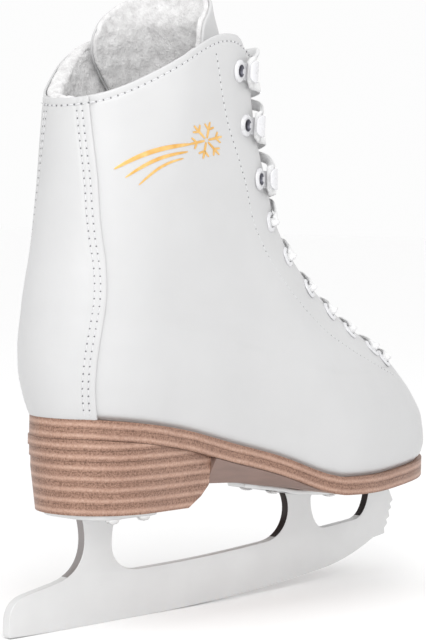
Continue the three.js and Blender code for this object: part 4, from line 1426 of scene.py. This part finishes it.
def stitches():
    """Rows of stitches round the topline, along the facings and down the strap."""
    on_upper, on_facing, on_strap = 0.22, 0.12, -1.28
    for name, side in SIDES:
        u = on_side(side, np.linspace(0.035, 0.5, 160))
        h = rim_height(u) - TOPLINE_SEAM
        strap = np.abs(u - 0.5) <= 0.072
        stitch_row(f"topline_stitches_{name}", h[~strap], u[~strap], on_upper)
        stitch_row(f"strap_topline_stitches_{name}", h[strap], u[strap], on_strap)
        h = np.linspace(36, 158, 160)
        u = on_side(side, facing_seam(h))
        keep = h < rim_height(u) - 4.5
        stitch_row(f"facing_stitches_{name}", h[keep], u[keep], on_facing)
        h = np.linspace(1.5, RIM_BACK - 3.5, 150)
        for row, inset in enumerate(STRAP_SEAMS, 1):
            width = panel_edge(h) - inset / mm_per_turn(h, 0.5 - panel_edge(h))
            stitch_row(f"strap_stitches_{name}_{row}", h, 0.5 + side * width, on_strap)


def side_place(p, q):
    """(h, u) on the shaft's outer side, p mm forwards and q mm up from the ornament's middle."""
    h = 115 + np.asarray(q, float)
    u = 0.311 - np.asarray(p, float) / 250
    return h, u


def gold_stroke(path, width, taper=0.35):
    """Thin raised stroke along a path of (p, q) places on the side of the shaft."""
    path = np.asarray(path, float)
    if len(path) > 2:
        line = smooth_route(path, 8)
    else:
        line = mix(path[0], path[1], np.linspace(0, 1, 12)[:, None])
    along = unit(np.gradient(line, axis=0))
    across = np.stack([-along[:, 1], along[:, 0]], -1)
    share = np.linspace(0, 1, len(line))
    half = width / 2 * mix(taper, 1, np.sqrt(np.clip(np.sin(np.pi * share), 0, 1)))
    spread = np.linspace(-1, 1, 5)
    places = line[:, None] + across[:, None] * (half[:, None] * spread)[..., None]
    h, u = side_place(places[..., 0], places[..., 1])
    return sheet(below(h, u, -0.22), below(h, u, -0.02), 0.08, 0.6, 2)


def ornament():
    """Plain gold decoration: a six-armed snow crystal over three sweeping strokes."""
    strokes = []
    centre = np.array([14.0, 5.0])
    for i in range(6):
        angle = math.radians(15 + 60 * i)
        way = np.array([math.cos(angle), math.sin(angle)])
        strokes.append(gold_stroke([centre + way * 1.0, centre + way * 8.2], 0.95, 0.5))
        for turn in (-1, 1):
            branch = angle + turn * math.radians(52)
            start = centre + way * 4.8
            tip = start + np.array([math.cos(branch), math.sin(branch)]) * 3.0
            strokes.append(gold_stroke([start, tip], 0.75, 0.6))
    for rise, length, width in ((0.0, 34, 1.8), (-3.4, 27, 1.3), (-6.4, 19, 0.9)):
        start = (-22 + (34 - length) * 0.6, -9 + rise)
        path = [(start[0] + length * 0.85 * t, start[1] + 12 * t + 2.2 * math.sin(math.pi * t))
                for t in np.linspace(0, 1, 7)]
        strokes.append(gold_stroke(path, width, 0.1))
    make_piece("gold_ornament", *merged(strokes), GOLD, sharp=60)


# ------------------------------------------------------------------ what stays from the CAD


def finish_cad_nodes():
    """Gives the hidden stiffening parts, which are shown as their CAD solids, their finishes."""
    finishes = {
        "facing_stay_outer": WHITE_LEATHER, "facing_stay_inner": WHITE_LEATHER,
        "heel_counter": FIBRE_BOARD, "toe_puff": FIBRE_BOARD, "lasting_board": FIBRE_BOARD,
        "shank": PLATE_STEEL,
    }
    for node, finish in finishes.items():
        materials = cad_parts[node].data.materials
        materials.clear()
        materials.append(finish)


# ------------------------------------------------------------------ floor and light


def floor_and_light():
    mesh = bpy.data.meshes.new("floor")
    reach = 30
    corners = [(-reach, -reach, 0), (reach, -reach, 0), (reach, reach, 0), (-reach, reach, 0)]
    mesh.from_pydata(corners, [], [(0, 1, 2, 3)])
    floor = bpy.data.objects.new("floor", mesh)
    finish = new_material("floor_paper", (0.99, 0.99, 0.99), 0.9)
    add_bump(finish, noise_value(finish, 40), 0.0001, 0.2)
    mesh.materials.append(finish)
    bpy.context.scene.collection.objects.link(floor)

    world = bpy.data.worlds.new("studio")
    world.use_nodes = True
    background = world.node_tree.nodes["Background"]
    background.inputs["Color"].default_value = (1, 1, 1, 1)
    background.inputs["Strength"].default_value = 0.98
    bpy.context.scene.world = world
    bpy.context.scene.view_settings.view_transform = "Standard"

    middle = Vector(((CAD_BOX[0][0] + CAD_BOX[1][0]) / 2, 0, 0.13))
    for name, place, size, power in (
        ("key_light", (-0.55, -0.45, 0.45), 0.5, 3.1),
        ("fill_light", (-0.6, -1.6, 0.5), 1.2, 0.5),
        ("top_light", (-0.2, 0.1, 1.8), 1.4, 1.5),
    ):
        data = bpy.data.lights.new(name, "AREA")
        data.size = size
        data.energy = power
        light = bpy.data.objects.new(name, data)
        light.location = middle + Vector(place)
        light.rotation_euler = (-Vector(place)).to_track_quat("-Z", "Y").to_euler()
        bpy.context.scene.collection.objects.link(light)


# ------------------------------------------------------------------ the skate

lace()
upper()
back_panel()
lining()
footbed()
tongue()
sole_layers()
waist_wedge()
heel_lifts()
heel_plate()
sole_plate()
blade()
fasteners()
eyelets()
hooks()
stitches()
ornament()
finish_cad_nodes()
floor_and_light()
